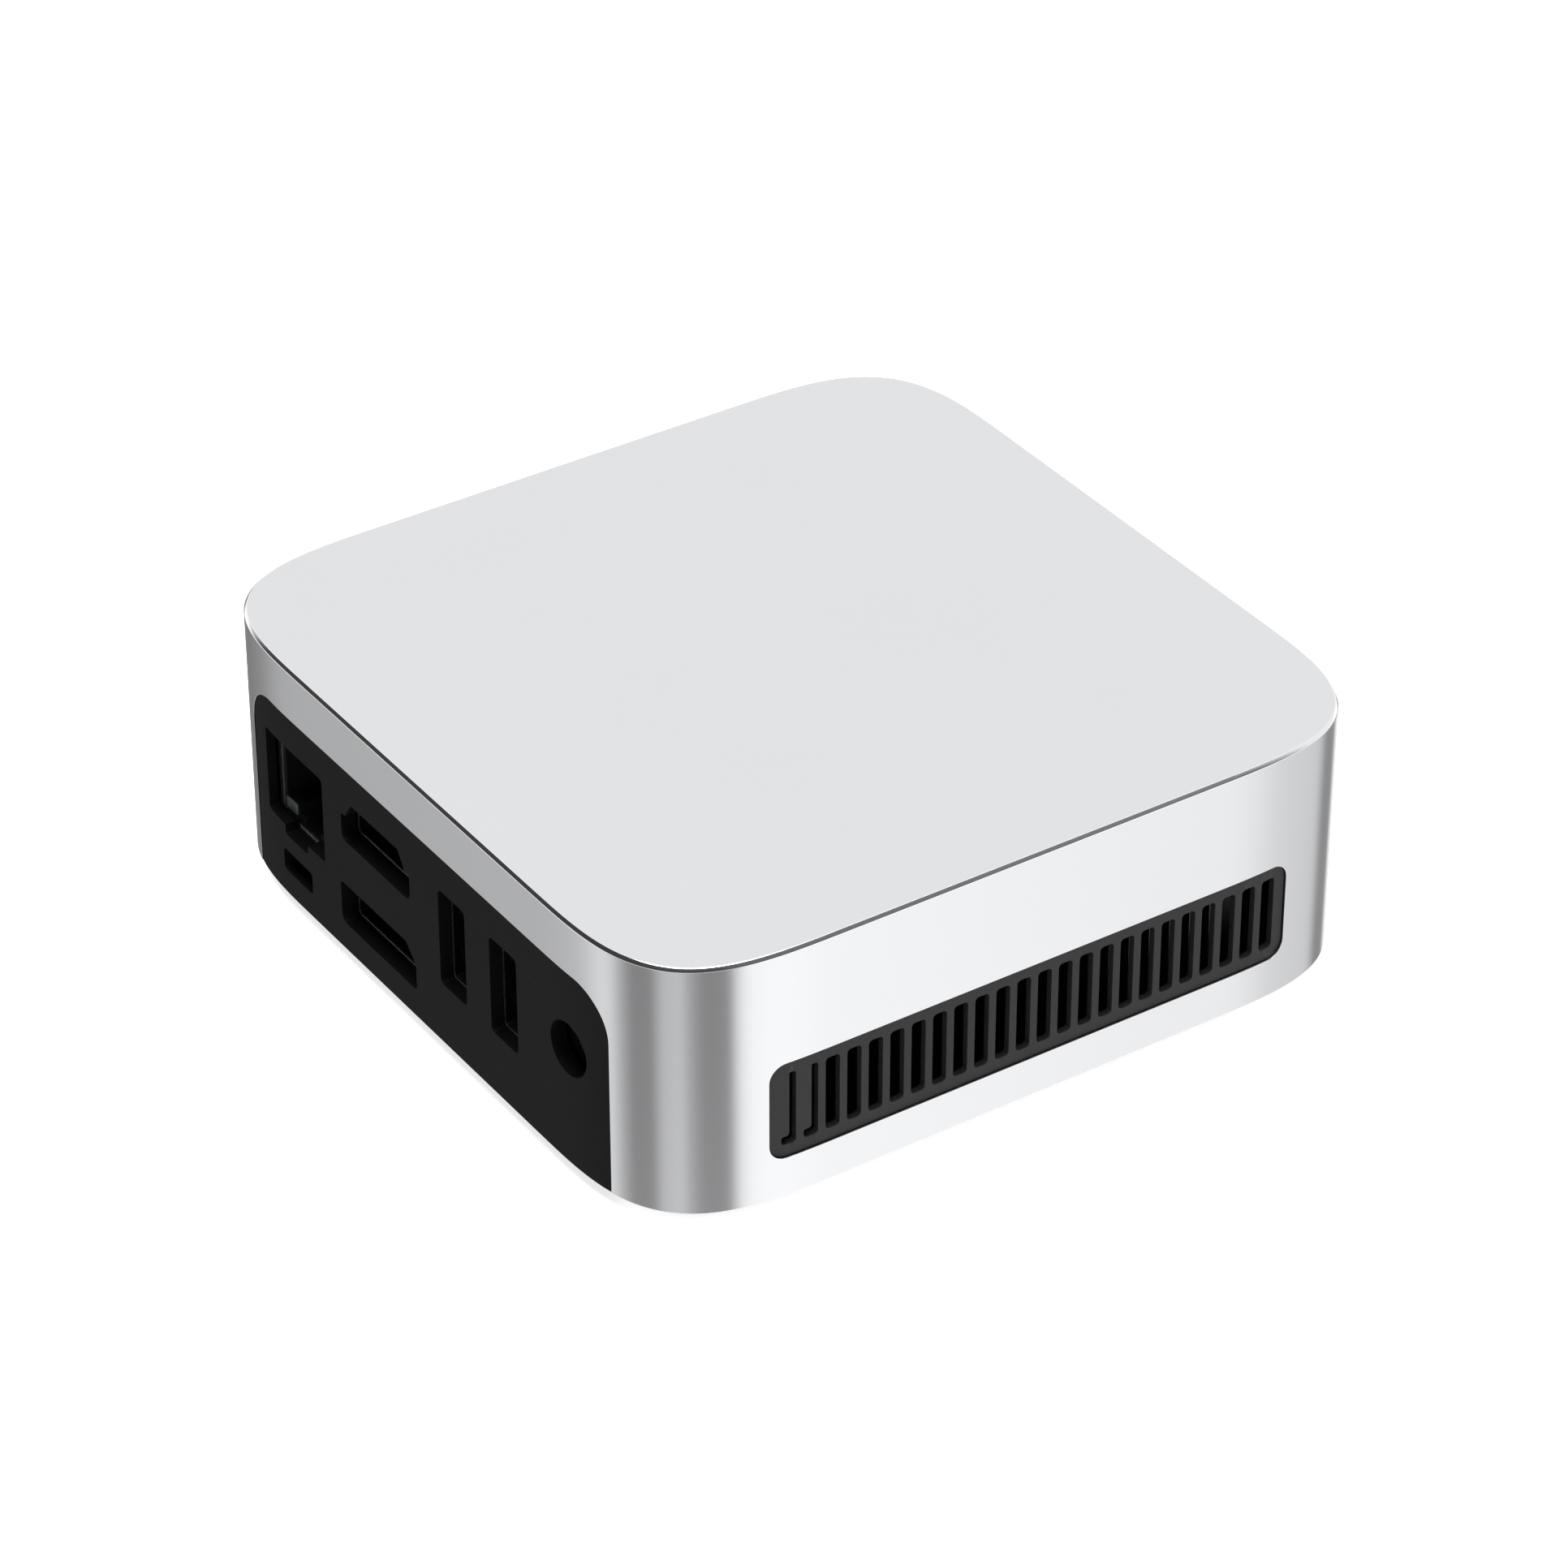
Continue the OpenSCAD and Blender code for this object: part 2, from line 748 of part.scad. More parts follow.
module fan_rotor() {
  hub_r = 10.5;
  tip_r = 27.6;
  low = 1.4;
  color([0.18, 0.18, 0.2]) translate([0, fan_y, fan_z]) {
    difference() {
      translate([0, 0, low]) cylinder(h = fan_t - low - 0.3, r = hub_r);
      translate([0, 0, low - 1]) cylinder(h = fan_t - low - 0.3, r = hub_r - 1);
    }
    translate([0, 0, 1]) cylinder(h = fan_t - 1.5, r = 1);
    intersection() {
      for (k = [0 : blades - 1]) rotate([0, 0, k * 360 / blades])
        translate([hub_r - 0.4, 0, fan_t / 2 + 0.5]) rotate([32, 0, 0])
          translate([0, -5.5, -0.4]) cube([20, 11, 0.8]);
      translate([0, 0, low]) cylinder(h = fan_t - low - 0.3, r = tip_r, $fn = 96);
    }
  }
}

module fan_screws() {
  color("dimgray") for (x = [-1, 1], y = [-1, 1])
    translate([x * fan_hole / 2, fan_y + y * fan_hole / 2, 0]) difference() {
      union() {
        rod(0, 0, fan_z + 0.2, fan_z + 1.6, 2.2);
        rod(0, 0, fan_z + 1, fan_z + fan_t + 5, 1.1);
      }
      rod(0, 0, fan_z - 1, fan_z + 0.9, 0.8);
    }
}

// Leads of the fan, from its frame up to the plug under the board
module fan_cable() {
  frame_y = fan_y + fan_size / 2;
  color("black") tube(smooth_run([
    [-24, frame_y, fan_z + 3.4], [-24, frame_y + 1.4, fan_z + 3.5], [-24.6, 30.6, fan_z + 5.4],
    [-26, 30.9, fan_z + 9.5], [-27, 30.8, deck - 6], [-27, 30.8, deck - 3.3]
  ], 3), 0.8);
}

module fan_connector() {
  color("ivory") block([-30.5, -23.5], [29, 32.6], [deck - 3.3, deck]);
}

// ---- Rear ports ----

module network_jack() {
  low = deck - 14;
  rear = port_face - 21;
  color("silver") difference() {
    block([network_x - 8, network_x + 8], [rear, port_face], [low, deck]);
    along_y(port_face - 15, port_face + 1) translate([network_x, 0]) {
      translate([-5.95, deck - 10.6]) square([11.9, 8.6]);
      translate([-3.1, deck - 12]) square([6.2, 2]);
      translate([-1.8, deck - 12.9]) square([3.6, 2]);
    }
  }
}

module network_contacts() {
  pitch = 1.1;
  color("gold") for (i = [0 : 7])
    translate([network_x + (i - 3.5) * pitch - 0.2, port_face - 3, deck - 2.5])
      rotate([18, 0, 0]) translate([0, -9, -0.3]) cube([0.4, 9, 0.35]);
}

module video_housing() {
  color([0.1, 0.1, 0.1]) {
    block([video_x - 8.8, video_x + 8.8], [port_face - 18, port_face - 11.5], [deck - 18.5, deck]);
    block([video_x - 8, video_x + 8], [port_face - 11.6, port_face - 1], [deck - 12.3, deck - 6.7]);
  }
}

module video_shell_upper() {
  color("silver") along_y(port_face - 11.5, port_face) difference() {
    upper_video_profile(-0.35);
    upper_video_profile(-0.75);
  }
}

module video_shell_lower() {
  color("silver") along_y(port_face - 11.5, port_face) difference() {
    lower_video_profile(-0.3);
    lower_video_profile(-0.7);
  }
}

// A plastic tongue with a row of contact strips on its two faces
module video_tongue(w, z) {
  color([0.08, 0.08, 0.08])
    block([video_x - w / 2, video_x + w / 2], [port_face - 11.5, port_face - 1.4], [z - 0.6, z + 0.6]);
  color("gold") for (i = [-4 : 4])
    block([video_x + i - 0.25, video_x + i + 0.25], [port_face - 11, port_face - 2], [z - 0.7, z + 0.7]);
}

module video_tongue_upper() {
  video_tongue(10.5, deck - 3.2);
}

module video_tongue_lower() {
  video_tongue(12.5, deck - 15.5);
}

// A bent metal shell that is open at its face and closed at its back
module usb_shell(w, h, face, depth) {
  along_y(face - depth, face) difference() {
    rounded(w, h, 0.6);
    rounded(w - 0.6, h - 0.6, 0.4);
  }
  along_y(face - depth, face - depth + 0.3) rounded(w, h, 0.6);
}

module usb_rear_shells() {
  color("silver") for (x = usb_x) {
    translate([x, 0, usb_mid]) usb_shell(5.7, 13.1, usb_face, 17);
    block([x - 2, x + 2], [usb_face - 12, usb_face - 8], [usb_mid + 6.5, deck]);
  }
}

// Tongue with four contacts on the side that faces the middle of the port
module usb_rear_tongues() {
  for (x = usb_x) {
    color([0.1, 0.1, 0.12]) {
      block([x - 2.4, x + 2.4], [usb_face - 16.7, usb_face - 13], [usb_mid - 6.1, usb_mid + 6.1]);
      block([x - 1.9, x - 0.3], [usb_face - 13.1, usb_face - 3], [usb_mid - 5.6, usb_mid + 5.6]);
    }
    color("gold") for (i = [-1.5 : 1.5])
      let (z = usb_mid + i * 2.4)
        block([x - 0.4, x - 0.1], [usb_face - 12.8, usb_face - 4], [z - 0.5, z + 0.5]);
  }
}

module power_jack() {
  color([0.08, 0.08, 0.08]) difference() {
    block([power_x - 4.5, power_x + 4.5], [power_face - 13.5, power_face], [deck - 11, deck]);
    rod_y(power_x, power_z, power_face - 9.5, power_face + 1, 3);
  }
}

module power_pin() {
  color("silver") {
    rod_y(power_x, power_z, power_face - 9.5, power_face - 2.5, 1.05);
    translate([power_x, power_face - 2.5, power_z])
      rotate([-90, 0, 0]) cylinder(h = 0.5, r1 = 1.05, r2 = 0.6);
  }
}

// ---- Front ports and the power button ----

module usb_front_shells() {
  color("silver") for (x = front_usb_x) {
    translate([x, 0, front_usb_z]) mirror([0, 1, 0]) usb_shell(13.1, 5.7, half - 1.8, 14);
    block([x - 5, x + 5], [-usb_face + 5, -usb_face + 9], [front_usb_z + 2.8, deck]);
  }
}

module usb_front_tongues() {
  for (x = front_usb_x) {
    color([0.1, 0.1, 0.12]) {
      block([x - 6.1, x + 6.1], [-usb_face + 10, -usb_face + 13.7], [front_usb_z - 2.4, front_usb_z + 2.4]);
      block([x - 5.6, x + 5.6], [-usb_face + 3, -usb_face + 10.1], [front_usb_z + 0.3, front_usb_z + 1.9]);
    }
    color("gold") for (i = [-1.5 : 1.5])
      let (cx = x + i * 2.4, z = front_usb_z)
        block([cx - 0.5, cx + 0.5], [-usb_face + 4, -usb_face + 9.8], [z + 0.1, z + 0.4]);
  }
}

module audio_jack() {
  color([0.1, 0.1, 0.1]) difference() {
    union() {
      block([audio_x - 3.2, audio_x + 3.2], [-half + 2.4, -half + 15.5], [audio_z - 3.3, deck]);
      rod_y(audio_x, audio_z, -half + 0.6, -half + 2.5, 2.6);
    }
    rod_y(audio_x, audio_z, -half, -half + 14.6, 1.8);
  }
}

module power_button() {
  face = -half + 0.3;
  color("gainsboro") {
    rod_y(button_x, button_z, face, -half + wall + 0.2, button_d / 2);
    rod_y(button_x, button_z, -half + wall + 0.15, -half + wall + 0.9, button_d / 2 + 0.9);
    rod_y(button_x, button_z, -half + wall + 0.8, switch_y - button_travel - 0.1, 1.3);
  }
}

module power_switch() {
  color([0.15, 0.15, 0.15]) {
    block([button_x - 3, button_x + 3], [switch_y + 0.5, switch_y + 4], [button_z - 3, deck]);
    rod_y(button_x, button_z, switch_y, switch_y + 0.6, 1.5);
  }
}

// Clear pipe that carries the board's light out to the front
module light_pipe() {
  color("aliceblue") {
    rod_y(light_x, button_z, -half + 0.15, -half + 6, 1);
    rod(light_x, -half + 5, button_z, deck - 0.6, 1);
    rod_y(light_x, button_z, -half + wall + 0.1, -half + wall + 0.9, 1.6);
  }
}

// ---- Nodes ----

housing();
rear_panel();
side_grille_left();
side_grille_right();
bottom_cover();
rubber_feet();
cover_screws();
standoffs();
bracket_inserts();
lock_plate();
motherboard();
board_components();
processor();
thermal_paste();
heat_sink();
heat_sink_screws();
fan_frame();
fan_rotor();
fan_screws();
fan_cable();
fan_connector();
memory_socket();
memory_module();
memory_latch_left();
memory_latch_right();
ssd_socket();
ssd_card();
ssd_nut();
ssd_screw();
ssd_thermal_pad();
wifi_socket();
wifi_card();
wifi_nut();
wifi_screw();
antennas();
antenna_leads();
battery_holder();
coin_battery();
network_jack();
network_contacts();
video_housing();
video_shell_upper();
video_tongue_upper();
video_shell_lower();
video_tongue_lower();
usb_rear_shells();
usb_rear_tongues();
power_jack();
power_pin();
usb_front_shells();
usb_front_tongues();
audio_jack();
power_button();
power_switch();
light_pipe();
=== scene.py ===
"""Mini pc: visible casing, ports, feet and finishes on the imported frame."""
import math
from contextlib import contextmanager

import bmesh
import bpy
from bpy.props import FloatProperty, FloatVectorProperty, IntProperty, PointerProperty
from mathutils import Matrix, Vector


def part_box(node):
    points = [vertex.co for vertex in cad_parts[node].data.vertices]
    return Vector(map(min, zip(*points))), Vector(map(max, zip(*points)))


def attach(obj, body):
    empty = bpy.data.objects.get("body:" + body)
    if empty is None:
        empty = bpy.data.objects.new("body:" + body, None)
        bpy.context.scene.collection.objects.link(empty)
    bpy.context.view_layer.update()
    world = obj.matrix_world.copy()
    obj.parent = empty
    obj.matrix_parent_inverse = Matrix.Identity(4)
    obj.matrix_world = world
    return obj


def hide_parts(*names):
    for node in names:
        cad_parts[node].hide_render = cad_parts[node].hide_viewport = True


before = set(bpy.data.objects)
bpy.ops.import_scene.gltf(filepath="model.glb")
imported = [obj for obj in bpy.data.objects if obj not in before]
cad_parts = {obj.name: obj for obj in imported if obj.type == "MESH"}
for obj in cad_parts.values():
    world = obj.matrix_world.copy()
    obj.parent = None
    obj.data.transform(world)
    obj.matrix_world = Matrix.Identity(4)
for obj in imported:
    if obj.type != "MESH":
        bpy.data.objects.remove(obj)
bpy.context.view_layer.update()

bl_info = {
    "name": "Mini PC",
    "version": (1, 0, 0),
    "blender": (4, 5, 0),
    "location": "3D View > Sidebar > Mini PC",
    "description": "Builds a small square desktop computer with its ports, vents, finishes and studio",
    "category": "Add Mesh",
}

MM = 0.001


def corners(node):
    """A node's lowest and highest corners, in millimetres."""
    low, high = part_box(node)
    return [v / MM for v in low], [v / MM for v in high]


def middle(node, axis):
    low, high = corners(node)
    return (low[axis] + high[axis]) / 2


CASE_LOW, CASE_HIGH = corners("housing")
HALF = CASE_HIGH[0]
BASE = CASE_LOW[2]
TOP = CASE_HIGH[2]
COVER_TOP = corners("standoffs")[0][2]
DECK = corners("network_jack")[1][2]
PORT_FACE = corners("network_jack")[1][1]
USB_FACE = corners("usb_rear_shells")[1][1]
USB_REAR_X = (corners("usb_rear_shells")[1][0] - 2.85, corners("usb_rear_shells")[0][0] + 2.85)
USB_MID = DECK - 7.2
USB_FRONT_X = (corners("usb_front_shells")[0][0] + 6.55, corners("usb_front_shells")[1][0] - 6.55)
USB_FRONT_Z = corners("usb_front_shells")[0][2] + 2.85
NETWORK_X = middle("network_jack", 0)
VIDEO_X = middle("video_housing", 0)
POWER_X = middle("power_pin", 0)
POWER_Z = middle("power_pin", 2)
POWER_FACE = corners("power_jack")[1][1]
AUDIO_X = middle("audio_jack", 0)
AUDIO_Z = corners("audio_jack")[0][2] + 3.3
BUTTON_X = middle("power_button", 0)
BUTTON_Z = middle("power_button", 2)
BUTTON_R = (corners("power_button")[1][0] - corners("power_button")[0][0]) / 2 - 0.9
LIGHT_X = middle("light_pipe", 0)
FAN_Y = middle("fan_frame", 1)
POST_X, POST_Y = HALF - 9.5, HALF - 17.5
INSERT_Y = 37.5

# Openings of the ports: width, height and corner radius, or radius alone
LOCK_Z = DECK - 17.55
LOCK_SLOT = (7, 3.1, 0.6)
DATA_CUT = (13.4, 5.9, 0.7)
DATA_CUT_UPRIGHT = (5.9, 13.4, 0.7)
POWER_HOLE = 3.55


# ---- Sizes and colours that a user would change ----


def length(name, text, default, low=0.0):
    """A length in millimetres."""
    return FloatProperty(name=name, description=text, default=default, min=low, precision=2)


def colour(name, text, default):
    return FloatVectorProperty(name=name, description=text, default=default, size=3,
                               subtype="COLOR", min=0.0, max=1.0)


class MINIPC_PG_housing(bpy.types.PropertyGroup):
    reach: length("Corner reach", "How far each rounded corner reaches along a side, in mm", 26.65, 1.0)
    power: FloatProperty(name="Corner power", description="Squareness of the corner curve",
                         default=3.6, min=2.0, max=6.0)
    wall: length("Wall", "Thickness of the side walls, in mm", 1.6, 0.4)
    roof: length("Roof", "Thickness of the roof, in mm", 1.8, 0.4)
    edge: length("Top chamfer", "Width of the polished chamfer round the roof, in mm", 0.4, 0.1)
    lip: length("Polished lip", "Width of the polished edge round each opening, in mm", 0.36, 0.02)
    flank: length("Chamfer flank", "Rounding on both sides of the top chamfer, in mm", 0.08, 0.02)
    cuts: IntProperty(name="Corner cuts", description="Facets in each rounded corner",
                      default=72, min=12, max=160)


class MINIPC_PG_panel(bpy.types.PropertyGroup):
    width: length("Panel width", "Width of the rear panel's opening, in mm", 80.0, 10.0)
    drop: length("Panel drop", "Depth of the metal strip above the panel, in mm", 7.1, 1.0)
    radius: length("Panel corner", "Radius of the panel's upper corners, in mm", 6.0, 0.5)
    gap: length("Panel gap", "Gap between a moulded part and the metal, in mm", 0.1, 0.0)
    thick: length("Panel thickness", "Thickness of the panel, in mm", 1.6, 0.4)
    rim: length("Port rim", "Rounding of the rim of each port opening, in mm", 0.14, 0.01)


class MINIPC_PG_vents(bpy.types.PropertyGroup):
    width: length("Vent width", "Width of each vent window, in mm", 73.2, 10.0)
    height: length("Vent height", "Height of each vent window, in mm", 13.3, 4.0)
    rise: length("Vent rise", "Height of the window above the body's lower edge, in mm", 5.25, 1.0)
    offset: FloatProperty(name="Vent offset", description="Shift of the window from the middle, in mm",
                          default=-0.3)
    radius: length("Vent corner", "Corner radius of the window, in mm", 2.2, 0.2)
    recess: length("Recess", "How far the grille sits back from the metal, in mm", 0.3, 0.0)
    thick: length("Grille thickness", "Thickness of the grille, in mm", 0.9, 0.2)
    slots: IntProperty(name="Slots", description="Number of slots in a grille", default=24, min=2)
    pitch: length("Slot pitch", "Distance from one slot to the next, in mm", 2.95, 0.5)
    slot_w: length("Slot width", "Width of a slot, in mm", 1.95, 0.3)
    slot_h: length("Slot height", "Height of a slot, in mm", 10.0, 1.0)


class MINIPC_PG_finishes(bpy.types.PropertyGroup):
    metal: colour("Body metal", "Colour of the blasted body metal", (0.80, 0.805, 0.82))
    metal_rough: FloatProperty(name="Body roughness", description="Roughness of the blasted metal",
                               default=0.19, min=0.05, max=1.0)
    panel: colour("Rear panel", "Colour of the rear panel's plastic", (0.0028, 0.0028, 0.0029))
    grille: colour("Vent grille", "Colour of the grille's plastic", (0.018, 0.018, 0.0185))
    rubber: colour("Feet", "Colour of the rubber feet", (0.018, 0.018, 0.018))
    board: colour("Circuit board", "Colour of the solder mask", (0.006, 0.05, 0.028))


class MINIPC_PG_studio(bpy.types.PropertyGroup):
    camera: FloatVectorProperty(name="Camera place", description="Where the camera stands",
                                default=(-0.4922, 0.3299, 0.4167), subtype="TRANSLATION")
    aim: FloatVectorProperty(name="Camera direction", description="Direction in which the camera looks",
                             default=(0.6885, -0.4614, -0.5595), subtype="DIRECTION")
    lens: FloatProperty(name="Lens", description="Focal length on a 36 mm sensor",
                        default=135.7, min=10.0, unit="CAMERA")
    sky: FloatProperty(name="Light", description="Strength of the light tent", default=1.0, min=0.0)
    table: FloatProperty(name="Light table", description="Strength of the light under the floor",
                         default=0.75, min=0.0)
    floor: colour("Floor", "Colour of the plain floor", (0.93, 0.93, 0.93))


# ---- Shader trees ----


class Reading:
    """A number in a shader tree. Sums written on it add Math nodes."""

    def __init__(self, tree, socket):
        self.tree = tree
        self.socket = socket

    def _maths(self, operation, *terms):
        node = self.tree.add("ShaderNodeMath", {"operation": operation}, dict(enumerate(terms)))
        return Reading(self.tree, node.outputs[0])

    def __add__(self, other):
        return self._maths("ADD", self, other)

    def __sub__(self, other):
        return self._maths("SUBTRACT", self, other)

    def __rsub__(self, other):
        return self._maths("SUBTRACT", other, self)

    def __mul__(self, other):
        return self._maths("MULTIPLY", self, other)

    def __truediv__(self, other):
        return self._maths("DIVIDE", self, other)

    __radd__ = __add__
    __rmul__ = __mul__

    def wave(self):
        return self._maths("SINE", self)

    def angle_to(self, other):
        return self._maths("ARCTAN2", self, other)

    def blend(self, low, high):
        """0 below low, 1 above high and a smooth rise between them."""
        node = self.tree.add("ShaderNodeMapRange", {"interpolation_type": "SMOOTHSTEP"},
                             {"Value": self, "From Min": low, "From Max": high})
        return Reading(self.tree, node.outputs[0])


class Tree:
    """A node tree with one method that adds any node."""

    def __init__(self, owner):
        owner.use_nodes = True
        self.nodes = owner.node_tree.nodes
        self.links = owner.node_tree.links
        self.nodes.clear()

    def add(self, kind, settings=None, sockets=None):
        node = self.nodes.new(kind)
        for name, value in (settings or {}).items():
            if name == "stops":
                self._stops(node.color_ramp, value)
            else:
                setattr(node, name, value)
        for name, value in (sockets or {}).items():
            self.feed(node.inputs[name], value)
        return node

    @staticmethod
    def _stops(ramp, stops):
        while len(ramp.elements) > 1:
            ramp.elements.remove(ramp.elements[-1])
        for i, (at, tone) in enumerate(stops):
            stop = ramp.elements[0] if i == 0 else ramp.elements.new(at)
            stop.position = at
            stop.color = (*tone, 1.0) if isinstance(tone, tuple) else (tone, tone, tone, 1.0)

    def feed(self, socket, value):
        if isinstance(value, Reading):
            self.links.new(value.socket, socket)
        elif isinstance(value, bpy.types.NodeSocket):
            self.links.new(value, socket)
        elif isinstance(value, (tuple, list)) and socket.type == "RGBA" and len(value) == 3:
            socket.default_value = (*value, 1.0)
        else:
            socket.default_value = value


class Finish(Tree):
    """A surface made of one Principled shader and what feeds it."""

    def __init__(self, name, **sockets):
        self.material = bpy.data.materials.get(name) or bpy.data.materials.new(name)
        super().__init__(self.material)
        self.place = self.add("ShaderNodeTexCoord").outputs["Object"]
        self.shader = self.add("ShaderNodeBsdfPrincipled", None,
                               {name.replace("_", " "): value for name, value in sockets.items()})
        self.add("ShaderNodeOutputMaterial", None, {"Surface": self.shader.outputs[0]})

    def noise(self, scale, detail=2.0, roughness=0.5, at=None):
        node = self.add("ShaderNodeTexNoise", None,
                        {"Vector": self.place if at is None else at, "Scale": scale,
                         "Detail": detail, "Roughness": roughness})
        return Reading(self, node.outputs[0])

    def cells(self, scale):
        node = self.add("ShaderNodeTexVoronoi", None, {"Vector": self.place, "Scale": scale})
        return Reading(self, node.outputs[0])

    def axis(self, index):
        node = self.add("ShaderNodeSeparateXYZ", None, {0: self.place})
        return Reading(self, node.outputs[index])

    def stretched(self, x, y, z):
        node = self.add("ShaderNodeMapping", None, {"Vector": self.place, "Scale": (x, y, z)})
        return node.outputs[0]

    def mix(self, factor, first, second):
        node = self.add("ShaderNodeMix", {"data_type": "RGBA"}, {0: factor, 6: first, 7: second})
        return node.outputs[2]

    def paint(self, factor, first, second):
        self.feed(self.shader.inputs["Base Color"], self.mix(factor, first, second))

    def rough(self, value):
        self.feed(self.shader.inputs["Roughness"], value)

    def bump(self, height, strength, distance):
        node = self.add("ShaderNodeBump", None,
                        {"Height": height, "Strength": strength, "Distance": distance * MM})
        self.feed(self.shader.inputs["Normal"], node.outputs[0])


def shade(tone, factor):
    return tuple(min(1.0, c * factor) for c in tone)


def grained(name, noise, dark, light, rough, relief, stretch=None, **sockets):
    """A finish whose colour, gloss and relief all follow one noise."""
    finish = Finish(name, **sockets)
    grain = finish.noise(*noise, finish.stretched(*stretch) if stretch else None)
    finish.paint(grain, dark, light)
    finish.rough(rough[0] + grain * rough[1])
    finish.bump(grain, *relief)
    return finish.material


def blasted_metal(name, tone, rough, grain=1.0):
    """Bead-blasted and anodised metal: even, with a fine bright grain."""
    finish = Finish(name, Metallic=1.0, Specular_IOR_Level=0.5)
    fine = finish.noise(7500, 3, 0.6)
    broad = finish.noise(34, 2, 0.5)
    cloud = finish.noise(2600, 2, 0.55)
    finish.paint(fine * 0.6 + broad * 0.15 + cloud * 0.25, shade(tone, 0.95), shade(tone, 1.05))
    finish.rough(rough - 0.03 + fine * 0.05 + broad * 0.02)
    finish.bump(fine + cloud * 0.5, 0.05 * grain, 0.012)
    return finish.material


def polished_metal(name, tone, rough=0.12):
    """A cut edge, with faint lines left by the cutter."""
    return grained(name, (2600, 2, 0.5), shade(tone, 0.96), shade(tone, 1.05), (rough, 0.05), (0.05, 0.01),
                   (1.0, 1.0, 14.0), Metallic=1.0)


def sheet_metal(name, tone, rough=0.3):
    """Plated and stamped sheet: long rolling marks and light smudges."""
    finish = Finish(name, Metallic=1.0)
    rolled = finish.noise(1500, 2, 0.5, finish.stretched(1.0, 0.06, 1.0))
    smudge = finish.noise(260, 3, 0.6)
    finish.paint(rolled * 0.6 + smudge * 0.4, shade(tone, 0.82), shade(tone, 1.08))
    finish.rough(rough - 0.06 + rolled * 0.08 + smudge * 0.08)
    finish.bump(rolled, 0.12, 0.01)
    return finish.material


def spark_plastic(name, tone, rough=0.55, scale=3600, depth=0.03, fleck=0.35, gloss=0.4):
    """Moulded plastic with a fine eroded texture from its tool."""
    finish = Finish(name, IOR=1.46, Specular_IOR_Level=gloss)
    grain = finish.noise(scale, 3, 0.65)
    pits = finish.cells(scale * 0.8)
    broad = finish.noise(60, 2, 0.5)
    finish.paint(grain * 0.7 + broad * 0.3, shade(tone, 1.0 - fleck), shade(tone, 1.0 + fleck))
    finish.rough(rough - 0.06 + grain * 0.1 + broad * 0.04)
    finish.bump(grain * 0.7 + pits * 0.5, 0.35, depth)
    return finish.material


def smooth_plastic(name, tone, rough=0.35):
    """Plain moulded plastic with faint flow marks and dust."""
    finish = Finish(name, IOR=1.5)
    flow = finish.noise(420, 3, 0.6)
    dust = finish.noise(4200, 2, 0.7)
    finish.paint(flow * 0.6 + dust * 0.4, shade(tone, 0.8), shade(tone, 1.2))
    finish.rough(rough + flow * 0.12)
    finish.bump(flow * 0.6 + dust * 0.4, 0.12, 0.02)
    return finish.material


def rubber(name, tone):
    finish = Finish(name, IOR=1.52, Specular_IOR_Level=0.3)
    fine = finish.noise(3800, 3, 0.7)
    worn = finish.noise(240, 3, 0.6)
    dusty = worn.blend(0.45, 0.8)
    finish.paint(dusty * 0.5 + fine * 0.3, shade(tone, 0.8), shade(tone, 2.4))
    finish.rough(0.72 + fine * 0.16)
    finish.bump(fine, 0.4, 0.03)
    return finish.material


def circuit_board(name, tone):
    """Green solder mask over faint copper lines, with plated dots."""
    finish = Finish(name, IOR=1.5, Coat_Weight=0.35, Coat_Roughness=0.18)
    tracks_x = (finish.axis(0) * 5200).wave()
    tracks_y = (finish.axis(1) * 5200).wave()
    zone = finish.cells(150)
    pick = zone.blend(0.42, 0.5)
    lines = tracks_x * pick + tracks_y * (1 - pick)
    raised = lines.blend(0.1, 0.6)
    fibre = finish.noise(1700, 2, 0.5)
    finish.paint(raised * 0.75 + fibre * 0.25, shade(tone, 0.7), shade(tone, 1.9))
    finish.rough(0.34 + fibre * 0.12)
    finish.bump(raised, 0.25, 0.03)
    return finish.material


def black_chip(name, tone, rough=0.5):
    """Moulded chip package with a matt, slightly sandy surface."""
    finish = Finish(name, IOR=1.5)
    sand = finish.noise(5200, 2, 0.7)
    cloud = finish.noise(300, 2, 0.5)
    finish.paint(sand * 0.5 + cloud * 0.5, shade(tone, 0.7), shade(tone, 1.5))
    finish.rough(rough + sand * 0.15)
    finish.bump(sand, 0.25, 0.02)
    return finish.material


def gold_plate(name):
    return grained(name, (2400, 2, 0.5), (0.78, 0.52, 0.17), (0.98, 0.74, 0.33), (0.18, 0.1), (0.08, 0.01),
                   (1.0, 0.1, 1.0), Metallic=1.0)


def machined_brass(name):
    finish = Finish(name, Metallic=1.0)
    rings = (finish.axis(2) * 21000).wave()
    spots = finish.noise(380, 3, 0.6)
    finish.paint(spots, (0.56, 0.38, 0.14), (0.78, 0.57, 0.24))
    finish.rough(0.24 + spots * 0.14)
    finish.bump(rings, 0.15, 0.01)
    return finish.material


def clear_plastic(name):
    return grained(name, (700, 2, 0.5), (0.82, 0.86, 0.9), (0.95, 0.97, 1.0), (0.12, 0.1), (0.05, 0.01),
                   IOR=1.49, Transmission_Weight=0.85)


def frosted_plastic(name):
    """Milky light guide, unlit."""
    return grained(name, (1800, 3, 0.6), (0.05, 0.05, 0.049), (0.1, 0.1, 0.098), (0.3, 0.15), (0.1, 0.02),
                   IOR=1.49, Specular_IOR_Level=0.5, Subsurface_Weight=0.2)


def thermal_pad(name):
    return grained(name, (2600, 3, 0.7), (0.36, 0.42, 0.46), (0.55, 0.62, 0.66), (0.7, 0.15), (0.4, 0.04),
                   IOR=1.42)


